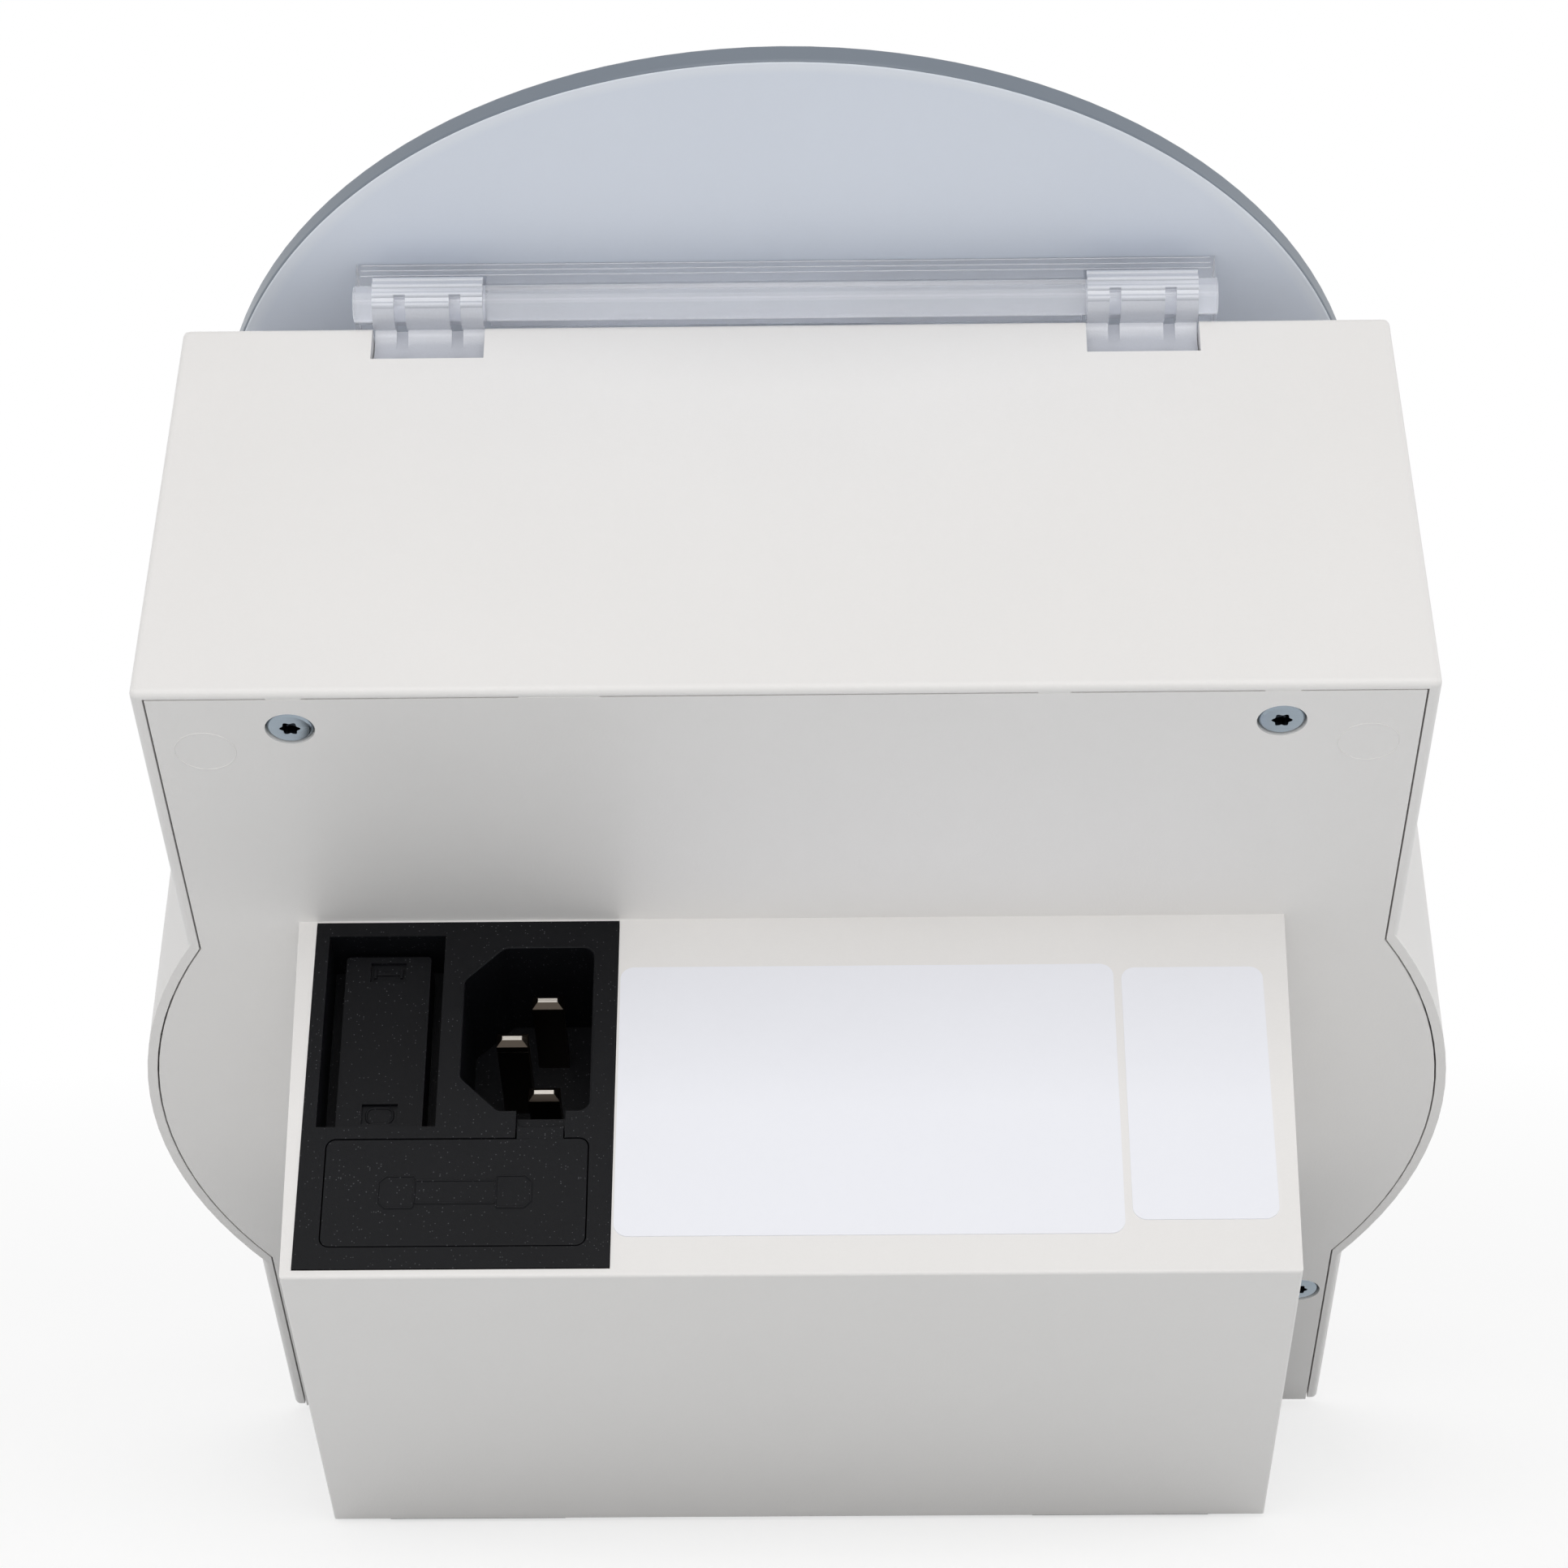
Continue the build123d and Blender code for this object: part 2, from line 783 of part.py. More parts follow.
bearing_bore = spindle_radius + bearing_fit
rear_bearing = tube_back + tube_end
front_bearing = tube_front - tube_end - bearing_width
bearing("rear_bearing", rear_bearing)
bearing("front_bearing", front_bearing)

with BuildPart() as spacer:
    disc(0, chamber_up, bearing_radius, rear_bearing + bearing_width, front_bearing)
    disc(0, chamber_up, bearing_radius - race_width, rear_bearing, front_bearing + reach, Mode.SUBTRACT)
save(spacer, "bearing_spacer")

# the bearing tube's nose carries the fixed pulley
with BuildPart() as sun_pulley:
    disc(0, chamber_up, tube_radius + flange_width, bowl_floor_front, sun_back)
    disc(0, chamber_up, tube_radius + seat_fit, bowl_floor_front - reach, sun_back + reach, Mode.SUBTRACT)
save(sun_pulley, "sun_pulley_flange")

# ---------------------------------------------------------------- spindle, pulleys and belts
spindle_front = rotor_front + nut_height + spindle_nose
spindle_back = drive_back - spindle_tail
collar_back = front_bearing + bearing_width + mouth_gap

with BuildPart() as spindle:
    disc(0, chamber_up, spindle_radius, spindle_back, spindle_front)
    disc(0, chamber_up, spindle_radius + spindle_collar, collar_back, rotor_back)
save(spindle, "spindle")


def pulley(name, x, up, radius, bore, back, front):
    """A flat-belt pulley with two flanges."""
    with BuildPart() as wheel:
        disc(x, up, radius, back - flange_width, front + flange_width)
        disc(x, up, radius + flange_rise, back - flange_width - mouth_gap, back - mouth_gap)
        disc(x, up, radius + flange_rise, front + mouth_gap, front + mouth_gap + flange_width)
        open_back = back - flange_width - mouth_gap - reach
        open_front = front + flange_width + mouth_gap + reach
        disc(x, up, bore + pulley_fit, open_back, open_front, Mode.SUBTRACT)
    save(wheel, name)


pulley("spindle_pulley", 0, chamber_up, drive_pulley_radius, spindle_radius, drive_back, drive_front)
pulley("motor_pulley", motor_x, motor_up, motor_pulley_radius, motor_shaft_radius, drive_back, drive_front)


def belt(name, first, first_radius, second, second_radius, back, front):
    """A flat belt round two pulleys, a running gap off both."""
    span = hypot(second[0] - first[0], second[1] - first[1])
    heading = atan2(second[1] - first[1], second[0] - first[0])
    spread = (first_radius - second_radius) / span
    tilt = atan2((1 - spread ** 2) ** 0.5, spread)

    def loop(grow):
        """Both arcs and both straight runs, grown outward."""
        near = first_radius + belt_gap + grow
        far = second_radius + belt_gap + grow
        touch = []
        for centre, radius in ((first, near), (second, far)):
            for turn in (tilt, -tilt):
                angle = heading + turn
                touch.append((centre[0] + radius * cos(angle), centre[1] + radius * sin(angle)))
        back_point = (first[0] - near * cos(heading), first[1] - near * sin(heading))
        far_point = (second[0] + far * cos(heading), second[1] + far * sin(heading))
        return touch, back_point, far_point

    with BuildPart() as band:
        for grow, mode in ((belt_thickness, Mode.ADD), (0.0, Mode.SUBTRACT)):
            touch, back_point, far_point = loop(grow)
            with BuildSketch(level(back)) as outline:
                with BuildLine():
                    Line(touch[0], touch[2])
                    ThreePointArc(touch[2], far_point, touch[3])
                    Line(touch[3], touch[1])
                    ThreePointArc(touch[1], back_point, touch[0])
                make_face()
            extrude(outline.sketch, amount=front - back, mode=mode)
    save(band, name)


belt(
    "drive_belt", (0, chamber_up), drive_pulley_radius, (motor_x, motor_up), motor_pulley_radius,
    drive_back, drive_front,
)
belt(
    "planet_belt", (0, chamber_up), tube_radius, (0, planet_up), planet_pulley_radius,
    planet_belt_back, planet_belt_front,
)

# ---------------------------------------------------------------- motor
with BuildPart() as motor:
    disc(motor_x, motor_up, motor_radius, chassis_back - motor_length, chassis_back)
    disc(motor_x, motor_up, motor_nose_radius, chassis_back, chassis_back + motor_nose)
    disc(
        motor_x, motor_up, motor_shaft_radius + bearing_fit, chassis_back - motor_length / 2,
        chassis_back + motor_nose + reach, Mode.SUBTRACT,
    )
    for x, up in motor_screws:
        disc(x, up, pilot_radius, chassis_back - motor_tap, chassis_back + reach, Mode.SUBTRACT)
    motor_end = motor.faces().sort_by(Axis(spot(0, 0, 0), machine.z_dir))[0]
    fillet(motor_end.edges(), radius=motor_round)
save(motor, "motor")

with BuildPart() as motor_shaft:
    disc(
        motor_x, motor_up, motor_shaft_radius, chassis_back - motor_length / 2 + reach,
        drive_front + flange_width + reach,
    )
save(motor_shaft, "motor_shaft")

with BuildPart() as motor_bolts:
    for x, up in motor_screws:
        disc(x, up, motor_head_radius, chassis_front, chassis_front + head_height)
        disc(x, up, screw_radius, chassis_back - motor_tap + reach, chassis_front)
save(motor_bolts, "motor_screws")

# ---------------------------------------------------------------- rotor
balance_up = chamber_up + balance_offset
rotor_bore = spindle_radius + pulley_fit

with BuildPart() as rotor:
    disc(0, chamber_up, rotor_radius, rotor_back, rotor_front)
    disc(0, planet_up, boss_radius, rotor_back, boss_front)
    disc(0, planet_up, bush_radius + seat_fit, rotor_back - reach, boss_front + reach, Mode.SUBTRACT)
    disc(0, chamber_up, rotor_bore, rotor_back - reach, rotor_front + reach, Mode.SUBTRACT)
    with BuildSketch(level(rotor_back - reach)):
        with Locations((0, chamber_up)):
            with PolarLocations(hole_circle, 2, start_angle=0):
                Circle(rotor_hole_radius)
    extrude(amount=rotor_thickness + 2 * reach, mode=Mode.SUBTRACT)
save(rotor, "rotor_disc")

with BuildPart() as bush:
    disc(0, planet_up, bush_radius, rotor_back, boss_front)
    disc(0, planet_up, bush_bore, rotor_back - reach, boss_front + reach, Mode.SUBTRACT)
save(bush, "planet_bush")

with BuildPart() as balance:
    disc(0, balance_up, balance_radius, rotor_front, rotor_front + balance_height)
save(balance, "balance_weight")

with BuildPart() as nut:
    with BuildSketch(level(rotor_front)):
        with Locations((0, chamber_up)):
            RegularPolygon(nut_radius, 6)
    extrude(amount=nut_height)
    disc(0, chamber_up, rotor_bore, rotor_front - reach, spindle_front + reach, Mode.SUBTRACT)
save(nut, "rotor_nut")

# ---------------------------------------------------------------- planet and cradle
post_back = cradle_half - post_inset
post_face = post_back - post_thickness
pin_front = cradle_front + jaw_height / 2
half_width = cradle_width / 2
jaw_low = planet_up - half_width + jaw_inset
jaw_high = planet_up + half_width - jaw_inset
pin_hole = jaw_pin_radius + bearing_fit
cup_radius = capsule_radius / 2
cup_depth = reach / 2

pulley_back = planet_belt_back - flange_width
pulley_front = planet_belt_front + flange_width
shaft_bore = planet_shaft_radius + pulley_fit

with BuildPart() as planet_shaft:
    disc(0, planet_up, planet_shaft_radius, pulley_back, cradle_back)
save(planet_shaft, "planet_shaft")

with BuildPart() as planet_pulley:
    disc(0, planet_up, planet_pulley_radius, pulley_back, pulley_front)
    disc(0, planet_up, shaft_bore, pulley_back - reach, pulley_front + reach, Mode.SUBTRACT)
save(planet_pulley, "planet_pulley")

with BuildPart() as cradle:
    slab(
        -cradle_half, cradle_half, planet_up - half_width, planet_up + half_width,
        cradle_back, cradle_front, corner=cradle_corner,
    )
    slab(jaw_face - jaw_thickness, jaw_face, jaw_low, jaw_high, cradle_front, jaw_front)
    slab(post_face, post_back, jaw_low, jaw_high, cradle_front, jaw_front)
    cross_bar(post_face - reach, cradle_half + reach, planet_up, pin_front, pin_hole, Mode.SUBTRACT)
    cross_bar(jaw_face - cup_depth, jaw_face + reach, planet_up, pin_front, cup_radius, Mode.SUBTRACT)
    disc(0, planet_up, boss_radius - reach, boss_front + mouth_gap, cradle_back)
    disc(0, planet_up, shaft_bore, boss_front - reach, cradle_back, Mode.SUBTRACT)
save(cradle, "capsule_cradle")

with BuildPart() as jaw:
    sliding_end = sliding_face + sliding_thickness
    slab(sliding_face, sliding_end, jaw_low, jaw_high, cradle_front + jaw_gap, jaw_front)
    cross_bar(sliding_end, sliding_end + jaw_pin_length, planet_up, pin_front, jaw_pin_radius)
    cross_bar(
        sliding_face - reach, sliding_face + cup_depth, planet_up, pin_front, cup_radius, Mode.SUBTRACT,
    )
save(jaw, "sliding_jaw")

# ---------------------------------------------------------------- front panel
with BuildPart() as panel:
    with BuildSketch(level(drum_depth)):
        with Locations((0, drum_up)):
            Circle(panel_radius)
        with Locations((0, lid_up)):
            Circle(lid_radius + panel_lid_gap, mode=Mode.SUBTRACT)
        with Locations((0, window_up)):
            Rectangle(window_width, window_height, mode=Mode.SUBTRACT)
        for x, up, radius in buttons.values():
            with Locations((x, up)):
                Circle(radius + button_gap, mode=Mode.SUBTRACT)
    extrude(amount=panel_thickness)
save(panel, "control_panel")

with BuildPart() as window:
    slab(
        -window_width / 2 + thread_gap, window_width / 2 - thread_gap,
        window_up - window_height / 2 + thread_gap, window_up + window_height / 2 - thread_gap,
        drum_inner_front + thread_gap, drum_depth + panel_thickness,
    )
save(window, "display_window")

with BuildPart() as board:
    slab(
        -board_width / 2, board_width / 2, board_up - board_height / 2, board_up + board_height / 2,
        board_back, board_front,
    )
    for x, up in board_posts:
        disc(x, up, clearance_radius, board_back - reach, board_front + reach, Mode.SUBTRACT)
save(board, "control_board")

stem_end = board_front + stem_clear
switch_top = stem_end - button_travel - switch_gap

with BuildPart() as switches:
    for x, up, radius in buttons.values():
        slab(
            x - switch_size / 2, x + switch_size / 2, up - switch_size / 2, up + switch_size / 2,
            board_front, switch_top,
        )
save(switches, "key_switches")

with BuildPart() as display:
    slab(
        -window_width / 2 + window_rim, window_width / 2 - window_rim,
        window_up - window_height / 2 + window_rim, window_up + window_height / 2 - window_rim,
        board_front, drum_inner_front - mouth_gap,
    )
save(display, "display")

for name, (x, up, radius) in buttons.items():
    with BuildPart() as button:
        lip_front = drum_inner_front - button_lip_gap
        disc(x, up, radius, lip_front, drum_depth + panel_thickness + button_proud)
        crown = button.faces().sort_by(Axis(spot(0, 0, 0), machine.z_dir))[-1]
        fillet(crown.edges(), radius=button_round)
        disc(x, up, radius + button_lip, lip_front - button_lip_height, lip_front)
        disc(x, up, button_stem, stem_end, lip_front - button_lip_height)
    save(button, name)

# ---------------------------------------------------------------- lid sensor
with BuildPart() as sensor:
    slab(
        magnet_x - sensor_width / 2, magnet_x + sensor_width / 2, magnet_up - sensor_height / 2,
        magnet_up + sensor_height / 2, drum_inner_front - sensor_depth, drum_inner_front,
        corner=sensor_round,
    )
save(sensor, "lid_sensor")

with BuildPart() as magnet:
    disc(magnet_x, magnet_up, magnet_radius, lid_back - magnet_thickness, lid_back)
save(magnet, "lid_magnet")

# ---------------------------------------------------------------- lid and hinge
with BuildPart() as lid:
    disc(0, lid_up, lid_radius, lid_back, lid_back + lid_thickness)
    fillet(lid.edges(), radius=lid_round)
save(lid, "lid")

pocket_back = hinge_front + barrel_reach + barrel_gap
pocket_inner = clip_inner - clip_side_gap
pocket_outer = clip_outer + clip_side_gap

rod_hole = rod_radius + seat_fit
bay_low = bar_bottom - reach
bay_high = bar_top + reach
bay_back = cheek_back - reach

with BuildPart() as hinge_bar:
    slab(-bar_half, bar_half, bar_bottom, bar_top, cheek_back, lid_back)
    slab(-pocket_inner, pocket_inner, bay_low, bay_high, bay_back, middle_back, Mode.SUBTRACT)
    for side in (-1, 1):
        left, right = sorted((side * pocket_inner, side * pocket_outer))
        slab(left, right, bay_low, bay_high, bay_back, pocket_back, Mode.SUBTRACT)
    cross_bar(-bar_half - reach, bar_half + reach, hinge_up, hinge_front, rod_hole, Mode.SUBTRACT)
save(hinge_bar, "hinge_bar")

with BuildPart() as hinge_rod:
    cross_bar(-bar_half, bar_half, hinge_up, hinge_front, rod_radius)
save(hinge_rod, "hinge_rod")

barrel_bore = rod_radius + rod_gap
leaf_floor = -notch_depth + notch_gap
leaf_back = notch_back + notch_gap
leaf_front = body_depth + leaf_reach

for name, side in (("left_hinge_clip", 1), ("right_hinge_clip", -1)):
    left, right = sorted((side * clip_inner, side * clip_outer))
    with BuildPart() as clip:
        with BuildSketch(cut_at(left)):
            with BuildLine():
                Line((leaf_floor, leaf_back), (-leaf_edge, leaf_back))
                ThreePointArc(
                    (-leaf_edge, leaf_back), (-leaf_drop, notch_back + leaf_scoop),
                    (-leaf_lip, leaf_front),
                )
                Line((-leaf_lip, leaf_front), (leaf_floor, leaf_front))
                Line((leaf_floor, leaf_front), (leaf_floor, leaf_back))
            make_face()
        extrude(amount=right - left)
        cross_bar(left, right, hinge_up, hinge_front, barrel_radius)
        for rib in range(rib_count):
            turn = radians(rib_first + rib * rib_step)
            rib_up = hinge_up + rib_orbit * cos(turn)
            rib_front = hinge_front - rib_orbit * sin(turn)
            cross_bar(left, right, rib_up, rib_front, rib_radius)
        cross_bar(left - reach, right + reach, hinge_up, hinge_front, barrel_bore, Mode.SUBTRACT)
        for share in (slot_share, 1 - slot_share):
            middle = left + share * (right - left)
            slab(
                middle - slot_width / 2, middle + slot_width / 2, hinge_up - slot_bottom,
                hinge_up + slot_top, hinge_front - barrel_reach - reach, hinge_front - slot_cover,
                Mode.SUBTRACT,
            )
    save(clip, name)

# ---------------------------------------------------------------- power inlet module
flange_low = box_top - box_wall
module_low = box_top - module_depth

with BuildPart() as module:
    tower(module_left, module_right, module_near, module_far, flange_low, face_up)
    tower(
        module_left + module_inset, module_right - module_inset, module_near + module_inset,
        module_far - 2 * module_inset, module_low, flange_low,
    )
    with BuildSketch(shelf(face_up - inlet_depth)) as socket:
        with BuildLine():
            Polyline(
                (inlet_left, inlet_near), (inlet_right - inlet_chamfer, inlet_near),
                (inlet_right, inlet_near + inlet_chamfer), (inlet_right, inlet_far - inlet_chamfer),
                (inlet_right - inlet_chamfer, inlet_far), (inlet_left, inlet_far), close=True,
            )
        make_face()
        fillet(socket.vertices().sort_by(Axis.X)[:2], radius=inlet_round)
    extrude(amount=inlet_depth + reach, mode=Mode.SUBTRACT)
    tower(
        pocket_left, pocket_right, pocket_near, pocket_far, face_up - pocket_depth, face_up + reach,
        Mode.SUBTRACT,
    )
    tower(
        drawer_left - drawer_gap, drawer_right + drawer_gap, drawer_near - drawer_gap,
        drawer_far + drawer_gap, face_up - drawer_depth - drawer_gap, face_up + reach, Mode.SUBTRACT,
        corner=drawer_round + drawer_gap,
    )
    # the finger slot runs from the socket to the drawer's tab
    tower(
        tab_left - drawer_gap, tab_right + drawer_gap, inlet_far - reach, drawer_near + drawer_round,
        face_up - tab_thickness - drawer_gap, face_up + reach, Mode.SUBTRACT,
    )
save(module, "inlet_module")

pin_spots = [
    (line_pin_x, inlet_middle - pin_spacing / 2, pin_recess),
    (line_pin_x, inlet_middle + pin_spacing / 2, pin_recess),
    (line_pin_x + earth_shift, inlet_middle, earth_recess),
]

with BuildPart() as pins:
    for x, near, recess in pin_spots:
        tower(
            x - pin_width / 2, x + pin_width / 2, near - pin_thickness / 2, near + pin_thickness / 2,
            face_up - inlet_depth, face_up - recess,
        )
    tips = [face for face in pins.faces() if face.normal_at().dot(machine.y_dir) > 0.99]
    chamfer([edge for tip in tips for edge in tip.edges()], length=pin_chamfer)
save(pins, "inlet_pins")

with BuildPart() as insert:
    tower(
        pocket_left + insert_side, pocket_right - insert_side, pocket_near + insert_margin,
        pocket_far - insert_margin, face_up - pocket_depth, face_up - insert_recess, corner=insert_round,
    )
    middle = (pocket_left + pocket_right) / 2
    near_grip = pocket_near + insert_margin + grip_edge
    far_grip = pocket_far - insert_margin - grip_edge - grip_height
    for grip in (near_grip, far_grip):
        tower(
            middle - grip_width / 2, middle + grip_width / 2, grip, grip + grip_height,
            face_up - insert_recess - grip_depth, face_up, Mode.SUBTRACT,
        )
save(insert, "selector_insert")

drawer_low = face_up - drawer_depth
fuse_middle = (drawer_near + drawer_far) / 2
fuse_x = (drawer_left + drawer_right) / 2
fuse_ups = [face_up - fuse_first, face_up - fuse_first - fuse_pitch]
bay = fuse_radius + fuse_gap

with BuildPart() as drawer:
    tower(
        drawer_left, drawer_right, drawer_near, drawer_far, drawer_low, face_up, corner=drawer_round,
    )
    tower(
        tab_left, tab_right, drawer_near - tab_reach, drawer_near, face_up - tab_thickness,
        face_up - tab_recess,
    )
    for up in fuse_ups:
        tower(
            fuse_x - fuse_length / 2 - fuse_gap, fuse_x + fuse_length / 2 + fuse_gap, fuse_middle - bay,
            drawer_far + reach, up - bay, up + bay, Mode.SUBTRACT,
        )
save(drawer, "fuse_drawer")

with BuildPart() as fuses:
    for up in fuse_ups:
        cross_bar(fuse_x - fuse_length / 2, fuse_x + fuse_length / 2, up, -fuse_middle, fuse_radius)
save(fuses, "fuses")

# ---------------------------------------------------------------- labels
for name, left, right, near, far in (
    ("rating_label", rating_left, rating_right, rating_edge, rating_edge + rating_height),
    ("service_label", service_left, service_right, service_edge, service_edge + service_height),
):
    with BuildPart() as sticker:
        tower(left, right, near, far, box_top, box_top + label_thickness, corner=label_round)
    save(sticker, name)

# ---------------------------------------------------------------- power board
with BuildPart() as power_board:
    slab(power_left, power_right, power_bottom, power_top, power_back, power_front)
save(power_board, "power_board")

with BuildPart() as capacitor:
    disc(
        power_left + capacitor_inset, power_bottom + capacitor_inset, capacitor_radius,
        power_back - capacitor_height, power_back,
    )
save(capacitor, "capacitor")

with BuildPart() as transformer:
    slab(
        power_right - choke_inset - choke_width, power_right - choke_inset, power_bottom + choke_inset,
        power_bottom + choke_inset + choke_height, power_back - choke_depth, power_back,
        corner=choke_round,
    )
save(transformer, "choke")

print("lean", round(degrees(lean), 3), "origin of the frame", machine.origin)
print("box foot", box_foot_spot, "housing foot", body_foot_spot)
print("hinge axis through", spot(0, hinge_up, hinge_front))
print("spindle axis through", spot(0, chamber_up, drum_depth), "along", machine.z_dir)
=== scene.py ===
"""Capsule mixer: finishes, fasteners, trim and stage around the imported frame."""
import math
from functools import cache

import bmesh
import bpy
from bpy.props import FloatProperty, FloatVectorProperty, IntProperty, PointerProperty
from mathutils import Matrix, Vector

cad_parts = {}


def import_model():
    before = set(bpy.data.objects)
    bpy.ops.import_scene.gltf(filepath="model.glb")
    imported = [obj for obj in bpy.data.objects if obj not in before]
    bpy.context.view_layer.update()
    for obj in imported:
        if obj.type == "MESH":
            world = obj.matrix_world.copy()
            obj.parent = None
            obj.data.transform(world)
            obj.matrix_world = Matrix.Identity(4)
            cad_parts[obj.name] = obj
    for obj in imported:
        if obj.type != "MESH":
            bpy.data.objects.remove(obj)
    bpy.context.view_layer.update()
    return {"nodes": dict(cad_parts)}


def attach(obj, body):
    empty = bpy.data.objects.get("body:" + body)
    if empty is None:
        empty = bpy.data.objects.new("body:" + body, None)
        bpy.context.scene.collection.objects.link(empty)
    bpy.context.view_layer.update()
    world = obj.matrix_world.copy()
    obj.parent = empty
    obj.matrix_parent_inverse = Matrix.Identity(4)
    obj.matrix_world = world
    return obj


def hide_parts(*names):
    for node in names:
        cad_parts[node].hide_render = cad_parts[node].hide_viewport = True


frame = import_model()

bl_info = {
    "name": "Capsule Mixer",
    "version": (1, 0, 0),
    "blender": (4, 5, 0),
    "location": "3D View > Sidebar > Mixer",
    "description": "Finishes, fasteners and small trim of a dental capsule mixer",
    "category": "Object",
}

MM = 0.001

# the machine leans back on its rear box: local x across, y up the rear plate, z to the front
TILT = math.atan2(53.07, 69.0)
CORNER = Vector((0.0, 94.5619, 114.5004)) * MM
TO_WORLD = Matrix.Translation(CORNER) @ Matrix.Rotation(TILT, 4, "X")
REARWARD = (TILT + math.pi, 0.0, 0.0)
FORWARD = (TILT, 0.0, 0.0)

# places in the leaning machine's millimetres
SPINDLE = (0.0, -63.99, 0.0)
PLANET = (0.0, -83.49, 0.0)
WEIGHT = (0.0, -39.99, 0.0)
MOTOR_AXLE = (-27.0, -84.35, 0.0)
LID_CENTRE = (0.0, -39.3, 69.0)
LID_MAGNET = (50.0, -92.0, 67.6)
INLET_FACE = -50.15
PIN_ENDS = (-54.35, -52.35)
DRAWER_MIDDLE = 42.175
FUSE_ROW = -41.0
POCKET_MIDDLE = 52.7
POCKET_FLOOR = INLET_FACE - 3.5
POCKET_ENDS = (-27.7, -6.2)
LIVE_BLADE = (29.8, -9.85)
NEUTRAL_BLADE = (29.8, -23.85)
KEY_TOP = 69.7
START_KEY = -162.0
TIME_KEYS = -158.5
DISPLAY_MIDDLE = -137.0
WHITE = (1.0, 1.0, 1.0, 1.0)


def world(x, up, front):
    """A point of the leaning machine, given in millimetres."""
    return TO_WORLD @ (Vector((x, up, front)) * MM)


# ------------------------------------------------------------------ user's sizes and colours
def length(name, description, default):
    """A size in millimetres."""
    return FloatProperty(name=name, description=description, default=default, min=0.0, subtype="NONE")


def count(name, description, default, least):
    """A whole number."""
    return IntProperty(name=name, description=description, default=default, min=least)


def tint(name, description, default):
    """A linear colour."""
    return FloatVectorProperty(
        name=name, description=description, default=default, size=3, min=0.0, max=1.0, subtype="COLOR",
    )


class MixerSizes(bpy.types.PropertyGroup):
    """Sizes of the added fasteners and trim, in millimetres."""
    head_radius: length("Screw head radius", "Radius of the cover screws' heads", 2.97)
    head_height: length("Screw head height", "Height of the cover screws' heads", 1.4)
    board_head: length("Small head radius", "Radius of the board and motor screws' heads", 2.15)
    shank_radius: length("Screw shank radius", "Radius of the screws' shanks", 1.25)
    recess_radius: length("Drive recess radius", "Radius of the six-lobed drive recess", 1.15)
    mark_radius: length("Mould mark radius", "Radius of the round mould marks in the rear cover", 3.8)
    mark_line: length("Mould mark line", "Radius of the raised line of a mould mark", 0.07)
    symbol_line: length("Symbol line", "Radius of the raised outline on the fuse drawer", 0.13)
    bar_line: length("Hinge bar line", "Radius of the drawn lines along the hinge bar", 0.09)
    bar_lines: count("Hinge bar lines", "Lines along the hinge bar", 3, 1)
    coil_turns: count("Choke turns", "Turns of wire on the choke", 15, 2)


class MixerColours(bpy.types.PropertyGroup):
    """Colours of the main finishes."""
    housing: tint("Housing", "Warm white moulded shell", (0.83, 0.815, 0.80))
    lid: tint("Lid", "Silver blue lacquer of the lid", (0.74, 0.79, 0.88))
    module: tint("Module", "Black of the power inlet", (0.0045, 0.0048, 0.006))
    label: tint("Label", "Cool white of the stickers", (0.87, 0.88, 0.93))
    panel: tint("Panel", "Blue grey of the control panel", (0.36, 0.42, 0.50))
    start: tint("Start key", "Green of the start key", (0.06, 0.33, 0.17))
    floor: tint("Floor", "Pale floor", (0.80, 0.815, 0.825))


def sizes():
    """The user's sizes."""
    return bpy.context.scene.mixer_sizes


def colours():
    """The user's colours."""
    return bpy.context.scene.mixer_colours


# ------------------------------------------------------------------ node building
class Value:
    """A node's output on which + - * and / make Math nodes."""

    def __init__(self, socket):
        self.socket = socket

    def math(self, operation, first, second):
        return calc(self.socket.id_data, operation, first, second)

    def __add__(self, other):
        return self.math("ADD", self, other)

    def __sub__(self, other):
        return self.math("SUBTRACT", self, other)

    def __mul__(self, other):
        return self.math("MULTIPLY", self, other)

    def __rtruediv__(self, other):
        return self.math("DIVIDE", other, self)


def put(value, socket):
    """Link a value to an input, or set it as the input's constant."""
    if isinstance(value, Value):
        value = value.socket
    if isinstance(value, bpy.types.NodeSocket):
        socket.id_data.links.new(value, socket)
    else:
        socket.default_value = value


def add(tree, kind, inputs=None, **settings):
    """Add a node, set its settings, then link or set each input by name or number."""
    node = tree.nodes.new(kind)
    for key, value in settings.items():
        setattr(node, key, value)
    for key, value in (inputs or {}).items():
        put(value, node.inputs[key])
    return node


def out(tree, kind, inputs=None, **settings):
    """Add a node and give its first output."""
    return Value(add(tree, kind, inputs, **settings).outputs[0])


def calc(tree, operation, *values):
    """A Math node's output."""
    return out(tree, "ShaderNodeMath", dict(enumerate(values)), operation=operation)


def parts_of(tree, vector):
    """The x, y and z of a vector."""
    return [Value(part) for part in add(tree, "ShaderNodeSeparateXYZ", {0: vector}).outputs]


def from_axis(tree, x, y):
    """The distance from an axis."""
    return calc(tree, "SQRT", x * x + y * y)


def seen_directly(tree):
    """1 for the camera's rays and those by way of a glossy or clear surface, 0 for the rest."""
    path = add(tree, "ShaderNodeLightPath").outputs
    mirrored = calc(tree, "MAXIMUM", path["Is Glossy Ray"], path["Is Transmission Ray"])
    return calc(tree, "MAXIMUM", path["Is Camera Ray"], mirrored)


def blend_colour(tree, factor, first, second, mode="MIX"):
    """A Mix node on colours."""
    node = add(tree, "ShaderNodeMix", {"Factor": factor}, data_type="RGBA", blend_type=mode)
    for socket, value in ((node.inputs[6], first), (node.inputs[7], second)):
        put((*value, 1.0) if isinstance(value, tuple) else value, socket)
    return Value(node.outputs[2])


